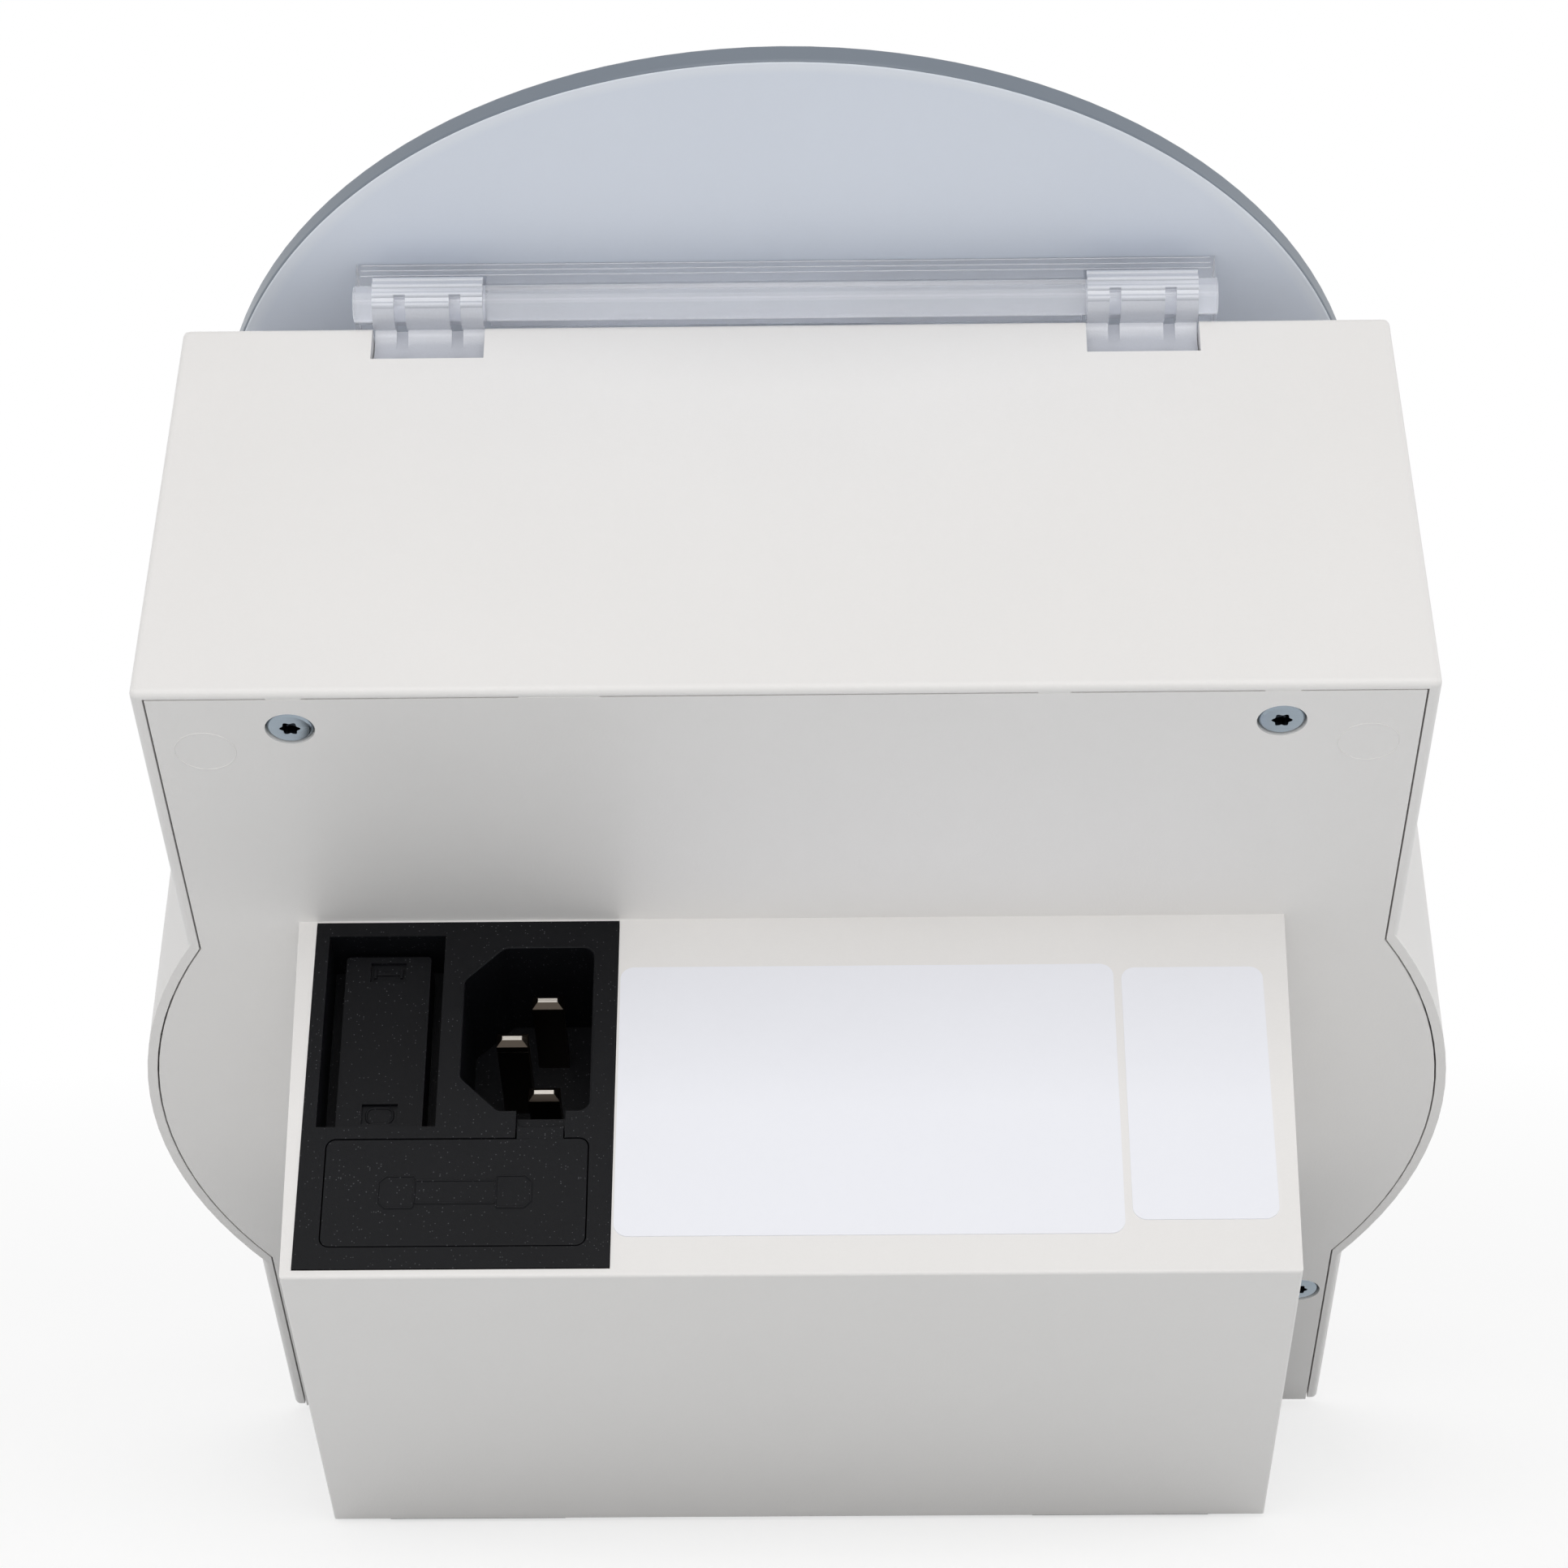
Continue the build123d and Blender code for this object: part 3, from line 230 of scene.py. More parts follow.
def group(name, kind, inputs, outputs):
    """A node group with named sockets; returns the group, its inputs and its output node."""
    tree = bpy.data.node_groups.new(name, kind)
    for label, form, default in inputs:
        socket = tree.interface.new_socket(name=label, in_out="INPUT", socket_type="NodeSocket" + form)
        if default is not None:
            socket.default_value = default
    for label, form in outputs:
        tree.interface.new_socket(name=label, in_out="OUTPUT", socket_type="NodeSocket" + form)
    given = {socket.name: Value(socket) for socket in tree.nodes.new("NodeGroupInput").outputs}
    return tree, given, tree.nodes.new("NodeGroupOutput")


# ------------------------------------------------------------------ shared surface effects
SURFACE = [("Colour", "Color"), ("Roughness", "Float"), ("Height", "Float")]


def shade_by(tree, colour, level):
    """A colour made lighter or darker by a level round 1."""
    grey = out(tree, "ShaderNodeCombineColor", {0: level, 1: level, 2: level})
    return blend_colour(tree, 1.0, colour, grey, "MULTIPLY")


def finish_surface(leave, *results):
    """Put an effect's colour, roughness and height on its outputs."""
    for value, socket in zip(results, leave.inputs):
        put(value, socket)


@cache
def make_moulded():
    """Moulded plastic: soft mottle in colour and gloss, and a fine grain as height."""
    tree, given, leave = group("Moulded Surface", "ShaderNodeTree", [
        ("Vector", "Vector", None), ("Colour", "Color", (0.8, 0.8, 0.8, 1.0)),
        ("Grain", "Float", 0.2), ("Mottle", "Float", 0.03), ("Gloss", "Float", 0.4),
        ("Gloss Range", "Float", 0.06), ("Specks", "Float", 0.0),
    ], SURFACE)
    place = given["Vector"]
    rate = 1000.0 / given["Grain"]
    fine, broad = (
        out(tree, "ShaderNodeTexNoise", {
            "Vector": place, "Scale": scale, "Detail": detail, "Roughness": decay,
        })
        for scale, detail, decay in ((rate, 3.0, 0.6), (38.0, 4.0, 0.55))
    )
    cells = add(tree, "ShaderNodeTexVoronoi", {"Vector": place, "Scale": 3600.0}).outputs
    swing = (broad - 0.5) * (given["Mottle"] * 2.0)
    grain = (fine - 0.5) * given["Mottle"]
    shade = shade_by(tree, given["Colour"], swing + 1.0 + grain)
    near = calc(tree, "LESS_THAN", cells["Distance"], broad * 0.5)
    rare = calc(tree, "GREATER_THAN", out(tree, "ShaderNodeSeparateColor", {0: cells["Color"]}), 0.9)
    shade = blend_colour(tree, near * rare * given["Specks"], shade, (0.55, 0.56, 0.6))
    rough = given["Gloss"] + (broad - 0.5) * given["Gloss Range"]
    finish_surface(leave, shade, rough, fine)
    return tree


@cache
def make_turned():
    """Turned or rolled metal: streaks that run round a centre or along one direction."""
    tree, given, leave = group("Tool Marks", "ShaderNodeTree", [
        ("Vector", "Vector", None), ("Colour", "Color", (0.7, 0.7, 0.7, 1.0)), ("Pitch", "Float", 0.3),
        ("Round", "Float", 1.0), ("Gloss", "Float", 0.3), ("Wear", "Float", 0.1),
    ], SURFACE)
    x, y, _ = parts_of(tree, given["Vector"])
    radius = from_axis(tree, x, y)
    across = out(tree, "ShaderNodeMix", {0: given["Round"], 2: y, 3: radius}, data_type="FLOAT")
    place = across * (1000.0 / given["Pitch"])
    marks = out(
        tree, "ShaderNodeTexNoise", {"W": place, "Scale": 1.0, "Detail": 2.0}, noise_dimensions="1D",
    )
    cloud = out(tree, "ShaderNodeTexNoise", {"Vector": given["Vector"], "Scale": 90.0, "Detail": 4.0})
    level = (marks - 0.5) * given["Wear"] + 1.0 + (cloud - 0.5) * given["Wear"]
    rough = given["Gloss"] + (cloud - 0.5) * 0.2
    finish_surface(leave, shade_by(tree, given["Colour"], level), rough, marks)
    return tree


def machine_space(tree, centre=(0.0, 0.0, 0.0)):
    """Object coordinates turned into the leaning machine's own axes, about a centre in millimetres."""
    coordinates = add(tree, "ShaderNodeTexCoord").outputs["Object"]
    return out(tree, "ShaderNodeMapping", {
        "Vector": coordinates, "Location": world(*centre), "Rotation": FORWARD,
    }, vector_type="TEXTURE")


def blank(name, **plain):
    """A material with one Principled shader and its constant values."""
    material = bpy.data.materials.new(name)
    material.use_nodes = True
    tree = material.node_tree
    shader = tree.nodes["Principled BSDF"]
    for key, value in plain.items():
        shader.inputs[key.replace("_", " ")].default_value = value
    return material, tree, shader


def dress(tree, shader, make, depth, **values):
    """Feed a shared effect into the shader's colour, roughness and normal."""
    centre = values.pop("centre", (0.0, 0.0, 0.0))
    node = add(tree, "ShaderNodeGroup", node_tree=make())
    put(machine_space(tree, centre), node.inputs["Vector"])
    for key, value in values.items():
        put((*value, 1.0) if key == "Colour" else value, node.inputs[key])
    bump = out(tree, "ShaderNodeBump", {
        "Distance": depth * MM, "Height": node.outputs["Height"],
    })
    put(node.outputs["Colour"], shader.inputs["Base Color"])
    put(node.outputs["Roughness"], shader.inputs["Roughness"])
    put(bump, shader.inputs["Normal"])


def lamps_pass(tree, shader):
    """Let the lamps' light straight through a clear piece, so that its shadow stays pale."""
    shadow = add(tree, "ShaderNodeLightPath").outputs["Is Shadow Ray"]
    open_way = out(tree, "ShaderNodeBsdfTransparent")
    mix = out(tree, "ShaderNodeMixShader", {0: shadow, 1: shader.outputs[0], 2: open_way})
    put(mix, tree.nodes["Material Output"].inputs["Surface"])


MATERIALS = {}


def plastic(name, colour, gloss, grain=0.25, depth=0.012, mottle=0.03, specks=0.0, **plain):
    """A moulded plastic or rubber; the lamps' light passes a clear one."""
    if name not in MATERIALS:
        material, tree, shader = blank(name, **plain)
        dress(
            tree, shader, make_moulded, depth,
            Colour=colour, Gloss=gloss, Grain=grain, Mottle=mottle, Specks=specks,
        )
        if "Transmission_Weight" in plain:
            lamps_pass(tree, shader)
        MATERIALS[name] = material
    return MATERIALS[name]


def metal(name, colour, gloss, pitch=0.3, round_about=None, depth=0.004, wear=0.12):
    """A metal with tool marks, round a centre or straight."""
    if name not in MATERIALS:
        material, tree, shader = blank(name, Metallic=1.0)
        dress(
            tree, shader, make_turned, depth, Colour=colour, Gloss=gloss, Pitch=pitch, Wear=wear,
            Round=0.0 if round_about is None else 1.0, centre=round_about or (0.0, 0.0, 0.0),
        )
        MATERIALS[name] = material
    return MATERIALS[name]


def recolour(tree, mask, colour):
    """Mix a material's colour towards another where a mask says so."""
    base = tree.nodes["Principled BSDF"].inputs["Base Color"]
    put(blend_colour(tree, mask, base.links[0].from_socket, colour), base)


# ------------------------------------------------------------------ pieces
def paint(material, *nodes):
    """Give CAD nodes a finish through their material slots."""
    for name in nodes:
        piece = frame["nodes"][name]
        if not piece.material_slots:
            piece.data.materials.append(material)
        for slot in piece.material_slots:
            slot.material = material


def soften(width, *nodes):
    """A small live bevel on sharp CAD nodes, so that their edges catch the light."""
    for name in nodes:
        piece = frame["nodes"][name]
        weld = piece.modifiers.new("Weld", "WELD")
        weld.merge_threshold = 2e-6
        flat = piece.modifiers.new("Flat faces", "DECIMATE")
        flat.decimate_type = "DISSOLVE"
        flat.angle_limit = math.radians(0.5)
        bevel = piece.modifiers.new("Edges", "BEVEL")
        bevel.width = width * MM
        bevel.segments = 2
        bevel.limit_method = "ANGLE"
        bevel.angle_limit = math.radians(32.0)
        bevel.harden_normals = True
        bevel.use_clamp_overlap = True


def link_object(name, data):
    """A new object in the scene."""
    made = bpy.data.objects.new(name, data)
    bpy.context.scene.collection.objects.link(made)
    return made


def keep(piece, body, stands_for=()):
    """Tie a finished piece to its body."""
    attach(piece, body)
    if stands_for:
        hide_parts(*stands_for)


def mesh_object(name, vertices, edges=(), faces=()):
    """A mesh object at the origin from points in the machine's millimetres."""
    mesh = bpy.data.meshes.new(name)
    mesh.from_pydata([world(*v) for v in vertices], list(edges), list(faces))
    return link_object(name, mesh)


def solid(name, boxes, material, bevel):
    """Boxes (left, right, bottom, top, back, front) joined in one mesh, with softened edges."""
    mesh = bpy.data.meshes.new(name)
    shape = bmesh.new()
    for left, right, bottom, top, back, front in boxes:
        corners = oblong(left, right, bottom, top)
        lower, upper = ([shape.verts.new((*spot, end)) for spot in corners] for end in (back, front))
        shape.faces.new(lower[::-1])
        shape.faces.new(upper)
        for i in range(4):
            j = (i + 1) % 4
            shape.faces.new((lower[i], lower[j], upper[j], upper[i]))
    bmesh.ops.recalc_face_normals(shape, faces=shape.faces)
    sharp = [e for e in shape.edges if e.calc_face_angle(0.0) > math.radians(35)]
    bmesh.ops.bevel(
        shape, geom=sharp, offset=bevel, segments=2, profile=0.5, affect="EDGES", clamp_overlap=True,
    )
    shape.transform(TO_WORLD @ Matrix.Scale(MM, 4))
    for face in shape.faces:
        face.smooth = False
    shape.to_mesh(mesh)
    shape.free()
    mesh.materials.append(material)
    keep(link_object(name, mesh), "machine")


def grow(piece, make, inputs):
    """Run a geometry tree on a piece, keep its result as a plain mesh and drop the modifier."""
    modifier = piece.modifiers.new("Shape", "NODES")
    modifier.node_group = make()
    for item in modifier.node_group.interface.items_tree:
        if item.in_out == "INPUT" and item.name in inputs:
            modifier[item.identifier] = inputs[item.name]
    piece.update_tag()
    bpy.context.view_layer.update()
    graph = bpy.context.evaluated_depsgraph_get()
    result = bpy.data.meshes.new_from_object(piece.evaluated_get(graph))
    piece.modifiers.clear()
    piece.data = result
    result.name = piece.name
    if not result.polygons:
        raise RuntimeError(f"{piece.name} came out empty")


def geometry_group(name, inputs):
    """An empty geometry tree with a mesh in and out, and a material."""
    return group(
        name, "GeometryNodeTree",
        [("Geometry", "Geometry", None), *inputs, ("Material", "Material", None)],
        [("Geometry", "Geometry")],
    )


def finish_tree(tree, shape, given, leave, smooth=True):
    """Realize Instances, Set Shade Smooth and Set Material at a tree's end."""
    real = out(tree, "GeometryNodeRealizeInstances", {0: shape})
    shaded = out(tree, "GeometryNodeSetShadeSmooth", {0: real, "Shade Smooth": smooth})
    done = out(tree, "GeometryNodeSetMaterial", {0: shaded, "Material": given["Material"]})
    put(done, leave.inputs[0])
    return tree


def table(tree, factor, values):
    """A value read from a list by a factor from 0 to 1, straight between its points."""
    node = add(tree, "ShaderNodeFloatCurve", {"Factor": 1.0, "Value": factor})
    curve = node.mapping.curves[0]
    last = len(values) - 1
    while len(curve.points) < len(values):
        curve.points.new(0.5, 0.5)
    for i, value in enumerate(values):
        curve.points[i].location = (i / last, value)
    for point in curve.points:
        point.handle_type = "VECTOR"
    node.mapping.update()
    return Value(node.outputs[0])


@cache
def make_screws():
    """Pan-head screws with a six-lobed recess, one on each point, turned by an angle."""
    tree, given, leave = geometry_group("Lobed Screws", [
        ("Head Radius", "Float", 3.0), ("Head Height", "Float", 1.4), ("Shank Radius", "Float", 1.25),
        ("Shank Length", "Float", 7.0), ("Recess Radius", "Float", 1.15),
        ("Rotation", "Vector", (0.0, 0.0, 0.0)),
    ])
    # rows of the turned outline: 0 recess floor, 4 its lip, 6 flat, 9 rim, 11 underside, 12 shank, 14 tip
    rows = 15
    recess = {1: 0.86, 2: 0.88, 3: 0.98, 4: 1.02, 5: 1.09}
    head = {6: 0.82, 7: 0.84, 8: 0.94, 9: 1.0, 10: 1.0, 11: 0.98}
    shank = {12: 1.0, 13: 0.92}
    rise = {0: 0.10, 1: 0.12, 2: 0.18, 3: 0.95, 4: 1.0, 5: 1.0, 6: 1.0, 7: 0.99, 8: 0.86, 9: 0.62, 10: 0.04}
    sink = {13: 1.0, 14: 1.0}
    lobe = {1: 1.0, 2: 1.0, 3: 1.0, 4: 1.0, 5: 0.9}
    # painted shade in the drive recess: full on its floor and lower wall, fading out at its lip
    recess_shade_rows = {0: 1.0, 1: 1.0, 2: 1.0, 3: 0.8, 4: 0.1}
    grid = out(tree, "GeometryNodeMeshGrid", {
        "Size X": 1.0, "Size Y": 1.0, "Vertices X": 49, "Vertices Y": rows,
    })
    x, y, _ = parts_of(tree, out(tree, "GeometryNodeInputPosition"))
    angle = (x + 0.5) * (2 * math.pi)
    along = y + 0.5

    def column(values):
        return table(tree, along, [values.get(row, 0.0) for row in range(rows)])

    bulge = calc(tree, "COSINE", angle * 6.0) * 0.15 * column(lobe) + 1.0
    radius = column(head) * given["Head Radius"] + column(shank) * given["Shank Radius"]
    radius = radius + column(recess) * given["Recess Radius"] * bulge
    point = out(tree, "ShaderNodeCombineXYZ", {
        0: radius * calc(tree, "COSINE", angle), 1: radius * calc(tree, "SINE", angle),
        2: column(rise) * given["Head Height"] - column(sink) * given["Shank Length"],
    })
    place = out(tree, "ShaderNodeVectorMath", {0: point, "Scale": MM}, operation="SCALE")
    # the recess rows are stored on the points as painted shade for the zinc colour
    marked = out(tree, "GeometryNodeStoreNamedAttribute", {
        "Geometry": grid, "Name": "painted_recess_shade", "Value": column(recess_shade_rows),
    }, data_type="FLOAT", domain="POINT")
    shaped = out(tree, "GeometryNodeSetPosition", {0: marked, "Position": place})
    closed = out(tree, "GeometryNodeMergeByDistance", {0: shaped, "Distance": 1e-6})
    spread = out(tree, "GeometryNodeInstanceOnPoints", {
        "Points": given["Geometry"], "Instance": closed, "Rotation": given["Rotation"],
    })
    return finish_tree(tree, spread, given, leave)


def sweep(tree, given, radius, sides, steps, caps=False):
    """A round tube along the given edges, with its corners rounded in a few steps."""
    path = out(tree, "GeometryNodeMeshToCurve", {0: given["Geometry"]})
    bend = out(tree, "GeometryNodeFilletCurve", {
        "Curve": path, "Radius": given["Corner Radius"] * MM, "Limit Radius": True, "Count": steps,
    }, mode="POLY")
    ring = out(tree, "GeometryNodeCurvePrimitiveCircle", {"Resolution": sides, "Radius": radius * MM})
    return out(tree, "GeometryNodeCurveToMesh", {"Curve": bend, "Profile Curve": ring, "Fill Caps": caps})


@cache
def make_lines():
    """A fine raised line along each edge path, with rounded corners."""
    tree, given, leave = geometry_group("Raised Line", [
        ("Line Radius", "Float", 0.1), ("Corner Radius", "Float", 0.0), ("Sides", "Int", 8),
    ])
    tube = sweep(tree, given, given["Line Radius"], given["Sides"], 5, caps=True)
    return finish_tree(tree, tube, given, leave)


@cache
def make_winding():
    """A wire loop repeated side by side, a turn at each step."""
    tree, given, leave = geometry_group("Wire Winding", [
        ("Wire Radius", "Float", 0.45), ("Corner Radius", "Float", 2.0), ("Turns", "Int", 15),
        ("Step", "Vector", (0.0, 0.0, 0.001)),
    ])
    loop = sweep(tree, given, given["Wire Radius"], 10, 6)
    row = out(tree, "GeometryNodeMeshLine", {"Count": given["Turns"], "Offset": given["Step"]})
    coil = out(tree, "GeometryNodeInstanceOnPoints", {"Points": row, "Instance": loop})
    return finish_tree(tree, coil, given, leave)


@cache
def make_chips():
    """Small boxes scattered over flat patches, never closer than a set distance."""
    tree, given, leave = geometry_group("Scattered Chips", [
        ("Size", "Vector", (0.0016, 0.0008, 0.0006)), ("Shift", "Vector", (0.0, 0.0, 0.0)),
        ("Spacing", "Float", 3.0), ("Seed", "Int", 4), ("Rotation", "Vector", (0.0, 0.0, 0.0)),
    ])
    strewn = out(tree, "GeometryNodeDistributePointsOnFaces", {
        "Mesh": given["Geometry"], "Seed": given["Seed"], "Distance Min": given["Spacing"] * MM,
        "Density Max": 90000.0,
    }, distribute_method="POISSON")
    cube = out(tree, "GeometryNodeMeshCube", {"Size": given["Size"]})
    shifted = out(tree, "GeometryNodeTransform", {0: cube, "Translation": given["Shift"]})
    turn = add(tree, "FunctionNodeRandomValue", {
        "Seed": given["Seed"], "Probability": 0.4,
    }, data_type="BOOLEAN")
    spin = out(tree, "ShaderNodeCombineXYZ", {2: Value(turn.outputs[3]) * (math.pi / 2)})
    set_down = out(tree, "GeometryNodeInstanceOnPoints", {
        "Points": strewn, "Instance": shifted, "Rotation": given["Rotation"],
    })
    turned = out(tree, "GeometryNodeRotateInstances", {
        "Instances": set_down, "Rotation": spin, "Local Space": True,
    })
    return finish_tree(tree, turned, given, leave, smooth=False)


@cache
def make_segments():
    """Bars of a seven-segment display, one bar on each edge of the digits' outlines."""
    tree, given, leave = geometry_group("Segment Bars", [
        ("Bar Width", "Float", 0.9), ("Bar Height", "Float", 0.12), ("Gap", "Float", 0.4),
        ("Face", "Vector", (0.0, -0.61, 0.79)),
    ])
    apart = out(tree, "GeometryNodeSplitEdges", {0: given["Geometry"]})
    apart = out(tree, "GeometryNodeMeshToCurve", {0: apart})
    cut = given["Gap"] * MM
    size = Value(add(tree, "GeometryNodeSplineLength").outputs["Length"])
    trim = out(tree, "GeometryNodeTrimCurve", {"Curve": apart, 4: cut, 5: size - cut}, mode="LENGTH")
    upright = out(tree, "GeometryNodeSetCurveNormal", {"Curve": trim, "Normal": given["Face"]}, mode="FREE")
    section = out(tree, "GeometryNodeCurvePrimitiveQuadrilateral", {
        "Width": given["Bar Height"] * MM, "Height": given["Bar Width"] * MM,
    })
    bars = out(tree, "GeometryNodeCurveToMesh", {
        "Curve": upright, "Profile Curve": section, "Fill Caps": True,
    })
    return finish_tree(tree, bars, given, leave, smooth=False)


def lines(name, paths, material, body, slot, radius, corner=0.0, closed=True, sides=8):
    """Raised lines along closed or open paths of points."""
    vertices = []
    edges = []
    for path in paths:
        first = len(vertices)
        vertices += path
        edges += [(first + i, first + i + 1) for i in range(len(path) - 1)]
        if closed:
            edges.append((len(vertices) - 1, first))
    piece = mesh_object(name, vertices, edges)
    grow(piece, make_lines, {
        "Line Radius": radius, "Corner Radius": corner, "Sides": sides, "Material": material,
    })
    keep(piece, body)


def screws(name, spots, front, head, length_mm, rotation=REARWARD):
    """Zinc screws in place of a CAD group; front is where the head's underside sits."""
    size = sizes()
    piece = mesh_object(name + "_torx", [(x, up, front) for x, up in spots])
    grow(piece, make_screws, {
        "Head Radius": head, "Head Height": size.head_height,
        "Shank Radius": size.shank_radius, "Shank Length": length_mm,
        "Recess Radius": size.recess_radius * head / size.head_radius,
        "Rotation": rotation, "Material": zinc_with_recess_shade(),
    })
    keep(piece, "machine", (name,))


def circle_points(x, up, front, radius, count=48):
    """Points round a circle square to the front direction."""
    turns = [2 * math.pi * i / count for i in range(count)]
    return [(x + radius * math.cos(a), up + radius * math.sin(a), front) for a in turns]


def oblong(left, right, low, high):
    """Corners of a rectangle, in order."""
    return [(left, low), (right, low), (right, high), (left, high)]


def level(points, up):
    """Points given across and to the front, put at one height."""
    return [(x, up, front) for x, front in points]


@cache
def zinc_with_recess_shade():
    """Bright blue zinc plating, with painted shade darkening the drive recesses."""
    material = metal("Zinc Plating", (0.31, 0.365, 0.415), 0.24, pitch=0.25, wear=0.1, depth=0.0006)
    tree = material.node_tree
    # painted shade: the plating goes near black where the screw tree marked the recess
    painted_recess_shade = add(tree, "ShaderNodeAttribute", attribute_name="painted_recess_shade").outputs["Fac"]
    recolour(tree, painted_recess_shade, (0.02, 0.024, 0.03))
    return material


@cache
def board_finish():
    """Glass-epoxy board with a fine pattern of tracks under green lacquer."""
    material, tree, shader = blank("Board Green", Coat_Weight=0.4, Coat_Roughness=0.15, Roughness=0.35)
    weave = add(tree, "ShaderNodeTexBrick", {
        "Vector": machine_space(tree), "Scale": 160.0, "Mortar Size": 0.03,
        "Brick Width": 0.9, "Row Height": 0.22, "Color1": (0.012, 0.10, 0.045, 1.0),
        "Color2": (0.014, 0.12, 0.055, 1.0), "Mortar": (0.04, 0.22, 0.09, 1.0),
    }).outputs
    bump = out(tree, "ShaderNodeBump", {"Distance": 0.03 * MM, "Height": weave["Fac"]})
    put(weave["Color"], shader.inputs["Base Color"])
    put(bump, shader.inputs["Normal"])
    return material


# ------------------------------------------------------------------ operators
class MixerOperator(bpy.types.Operator):
    """Shared settings of the mixer's operators."""
    bl_options = {"REGISTER", "UNDO"}


class MIXER_OT_shell(MixerOperator):
    """Finish the housing and the rear cover, with mould marks and seam tabs"""
    bl_idname = "mixer.shell"
    bl_label = "Housing and Rear Cover"

    def execute(self, context):
        white = plastic(
            "Moulded White", colours().housing, 0.42, grain=0.35, depth=0.02, mottle=0.02,
            Specular_IOR_Level=0.5,
        )
        paint(white, "housing", "rear_cover")
        size = sizes()
        marks = [circle_points(x, -11.9, 0.0, size.mark_radius) for x in (-72.0, 72.0)]
        lines("mould_marks", marks, white, "machine", "housing_white", size.mark_line)
        spans = [(59.0, 63.4), (22.5, 32.4), (-34.9, -30.9), (-62.9, -58.5)]
        tabs = [(*span, -1.5, -0.95, 0.05, 1.6) for span in spans]
        solid("seam_tabs", tabs, white, bevel=0.06)
        return {"FINISHED"}


class MIXER_OT_fasteners(MixerOperator):
    """Put lobed screws in place of the plain ones"""
    bl_idname = "mixer.fasteners"
    bl_label = "Screws"

    def execute(self, context):
        wide = sizes().head_radius
        small = sizes().board_head
        cover = [(-61.0, -7.4), (61.0, -7.4), (-74.4, -152.1), (74.4, -152.1)]
        pillars = [(-68.0, -30.0), (68.0, -30.0), (-66.0, -118.0), (66.0, -118.0)]
        posts = [(-36.0, -127.0), (36.0, -127.0), (-37.0, -166.0), (37.0, -166.0)]
        across, up, _ = MOTOR_AXLE
        motor = [(across + x, up) for x in (-12.0, 12.0)]
        screws("cover_screws", cover, 1.45, wide, 7.4)
        screws("chassis_screws", pillars, 10.0, wide, 9.0)
        screws("board_screws", posts, 57.6, small, 5.4)
        screws("motor_screws", motor, 12.0, small, 7.0, rotation=FORWARD)
        return {"FINISHED"}


class MIXER_OT_feet(MixerOperator):
    """Finish the rubber feet"""
    bl_idname = "mixer.feet"
    bl_label = "Feet"

    def execute(self, context):
        rubber = plastic("Grey Rubber", (0.30, 0.30, 0.295), 0.72, grain=0.5, depth=0.04, mottle=0.08)
        paint(rubber, "box_feet", "housing_feet")
        return {"FINISHED"}


class MIXER_OT_lid(MixerOperator):
    """Finish the lid with its lacquered face, a pale painted highlight band and a dark rim"""
    bl_idname = "mixer.lid"
    bl_label = "Lid"

    def execute(self, context):
        material, tree, shader = blank("Lid Lacquer", Coat_Weight=0.05, Coat_Roughness=0.15)
        dress(
            tree, shader, make_moulded, 0.004,
            Colour=colours().lid, Gloss=0.4, Grain=0.5, Mottle=0.012,
        )
        x, y, _ = parts_of(tree, machine_space(tree, LID_CENTRE))
        radius = from_axis(tree, x, y)
        # painted highlight: a pale band just inside the lid's edge
        edge_highlight = out(tree, "ShaderNodeMapRange", {0: radius, 1: 75.4 * MM, 2: 76.6 * MM})
        rim = calc(tree, "GREATER_THAN", radius, 77.4 * MM)
        recolour(tree, edge_highlight * 0.35, (0.88, 0.91, 0.94))
        recolour(tree, rim, (0.17, 0.20, 0.24))
        paint(material, "lid")
        paint(plastic("Soft Seal", (0.05, 0.052, 0.055), 0.6, grain=0.4, depth=0.03), "lid_gasket")
        paint(metal("Nickel", (0.68, 0.67, 0.65), 0.2, round_about=LID_MAGNET, pitch=0.2), "lid_magnet")
        paint(plastic("Sensor Black", (0.02, 0.02, 0.02), 0.4), "lid_sensor")
        return {"FINISHED"}


class MIXER_OT_hinge(MixerOperator):
    """Finish the clear hinge bar and rod and the frosted clips"""
    bl_idname = "mixer.hinge"
    bl_label = "Hinge"

    def execute(self, context):
        clear = plastic(
            "Clear Bar", (0.90, 0.915, 0.955), 0.07, grain=0.6, depth=0.0004, mottle=0.02,
            Transmission_Weight=0.8, IOR=1.49,
        )
        frosted = plastic(
            "Frosted Clip", (0.66, 0.68, 0.735), 0.24, grain=0.3, depth=0.03, mottle=0.1,
            Transmission_Weight=0.22, IOR=1.45, Coat_Weight=1.0, Coat_Roughness=0.14,
        )
        paint(clear, "hinge_bar", "hinge_rod")
        paint(frosted, "left_hinge_clip", "right_hinge_clip")
        soften(0.2, "hinge_bar")
        size = sizes()
        count = size.bar_lines
        fronts = [65.9 + 1.8 * i / max(count - 1, 1) for i in range(count)]
        ridges = [[(-55.2, 2.06, f), (55.2, 2.06, f)] for f in fronts]
        lines(
            "hinge_bar_lines", ridges, frosted, "lid_assembly", "clear_plastic", size.bar_line,
            closed=False,
        )
        return {"FINISHED"}


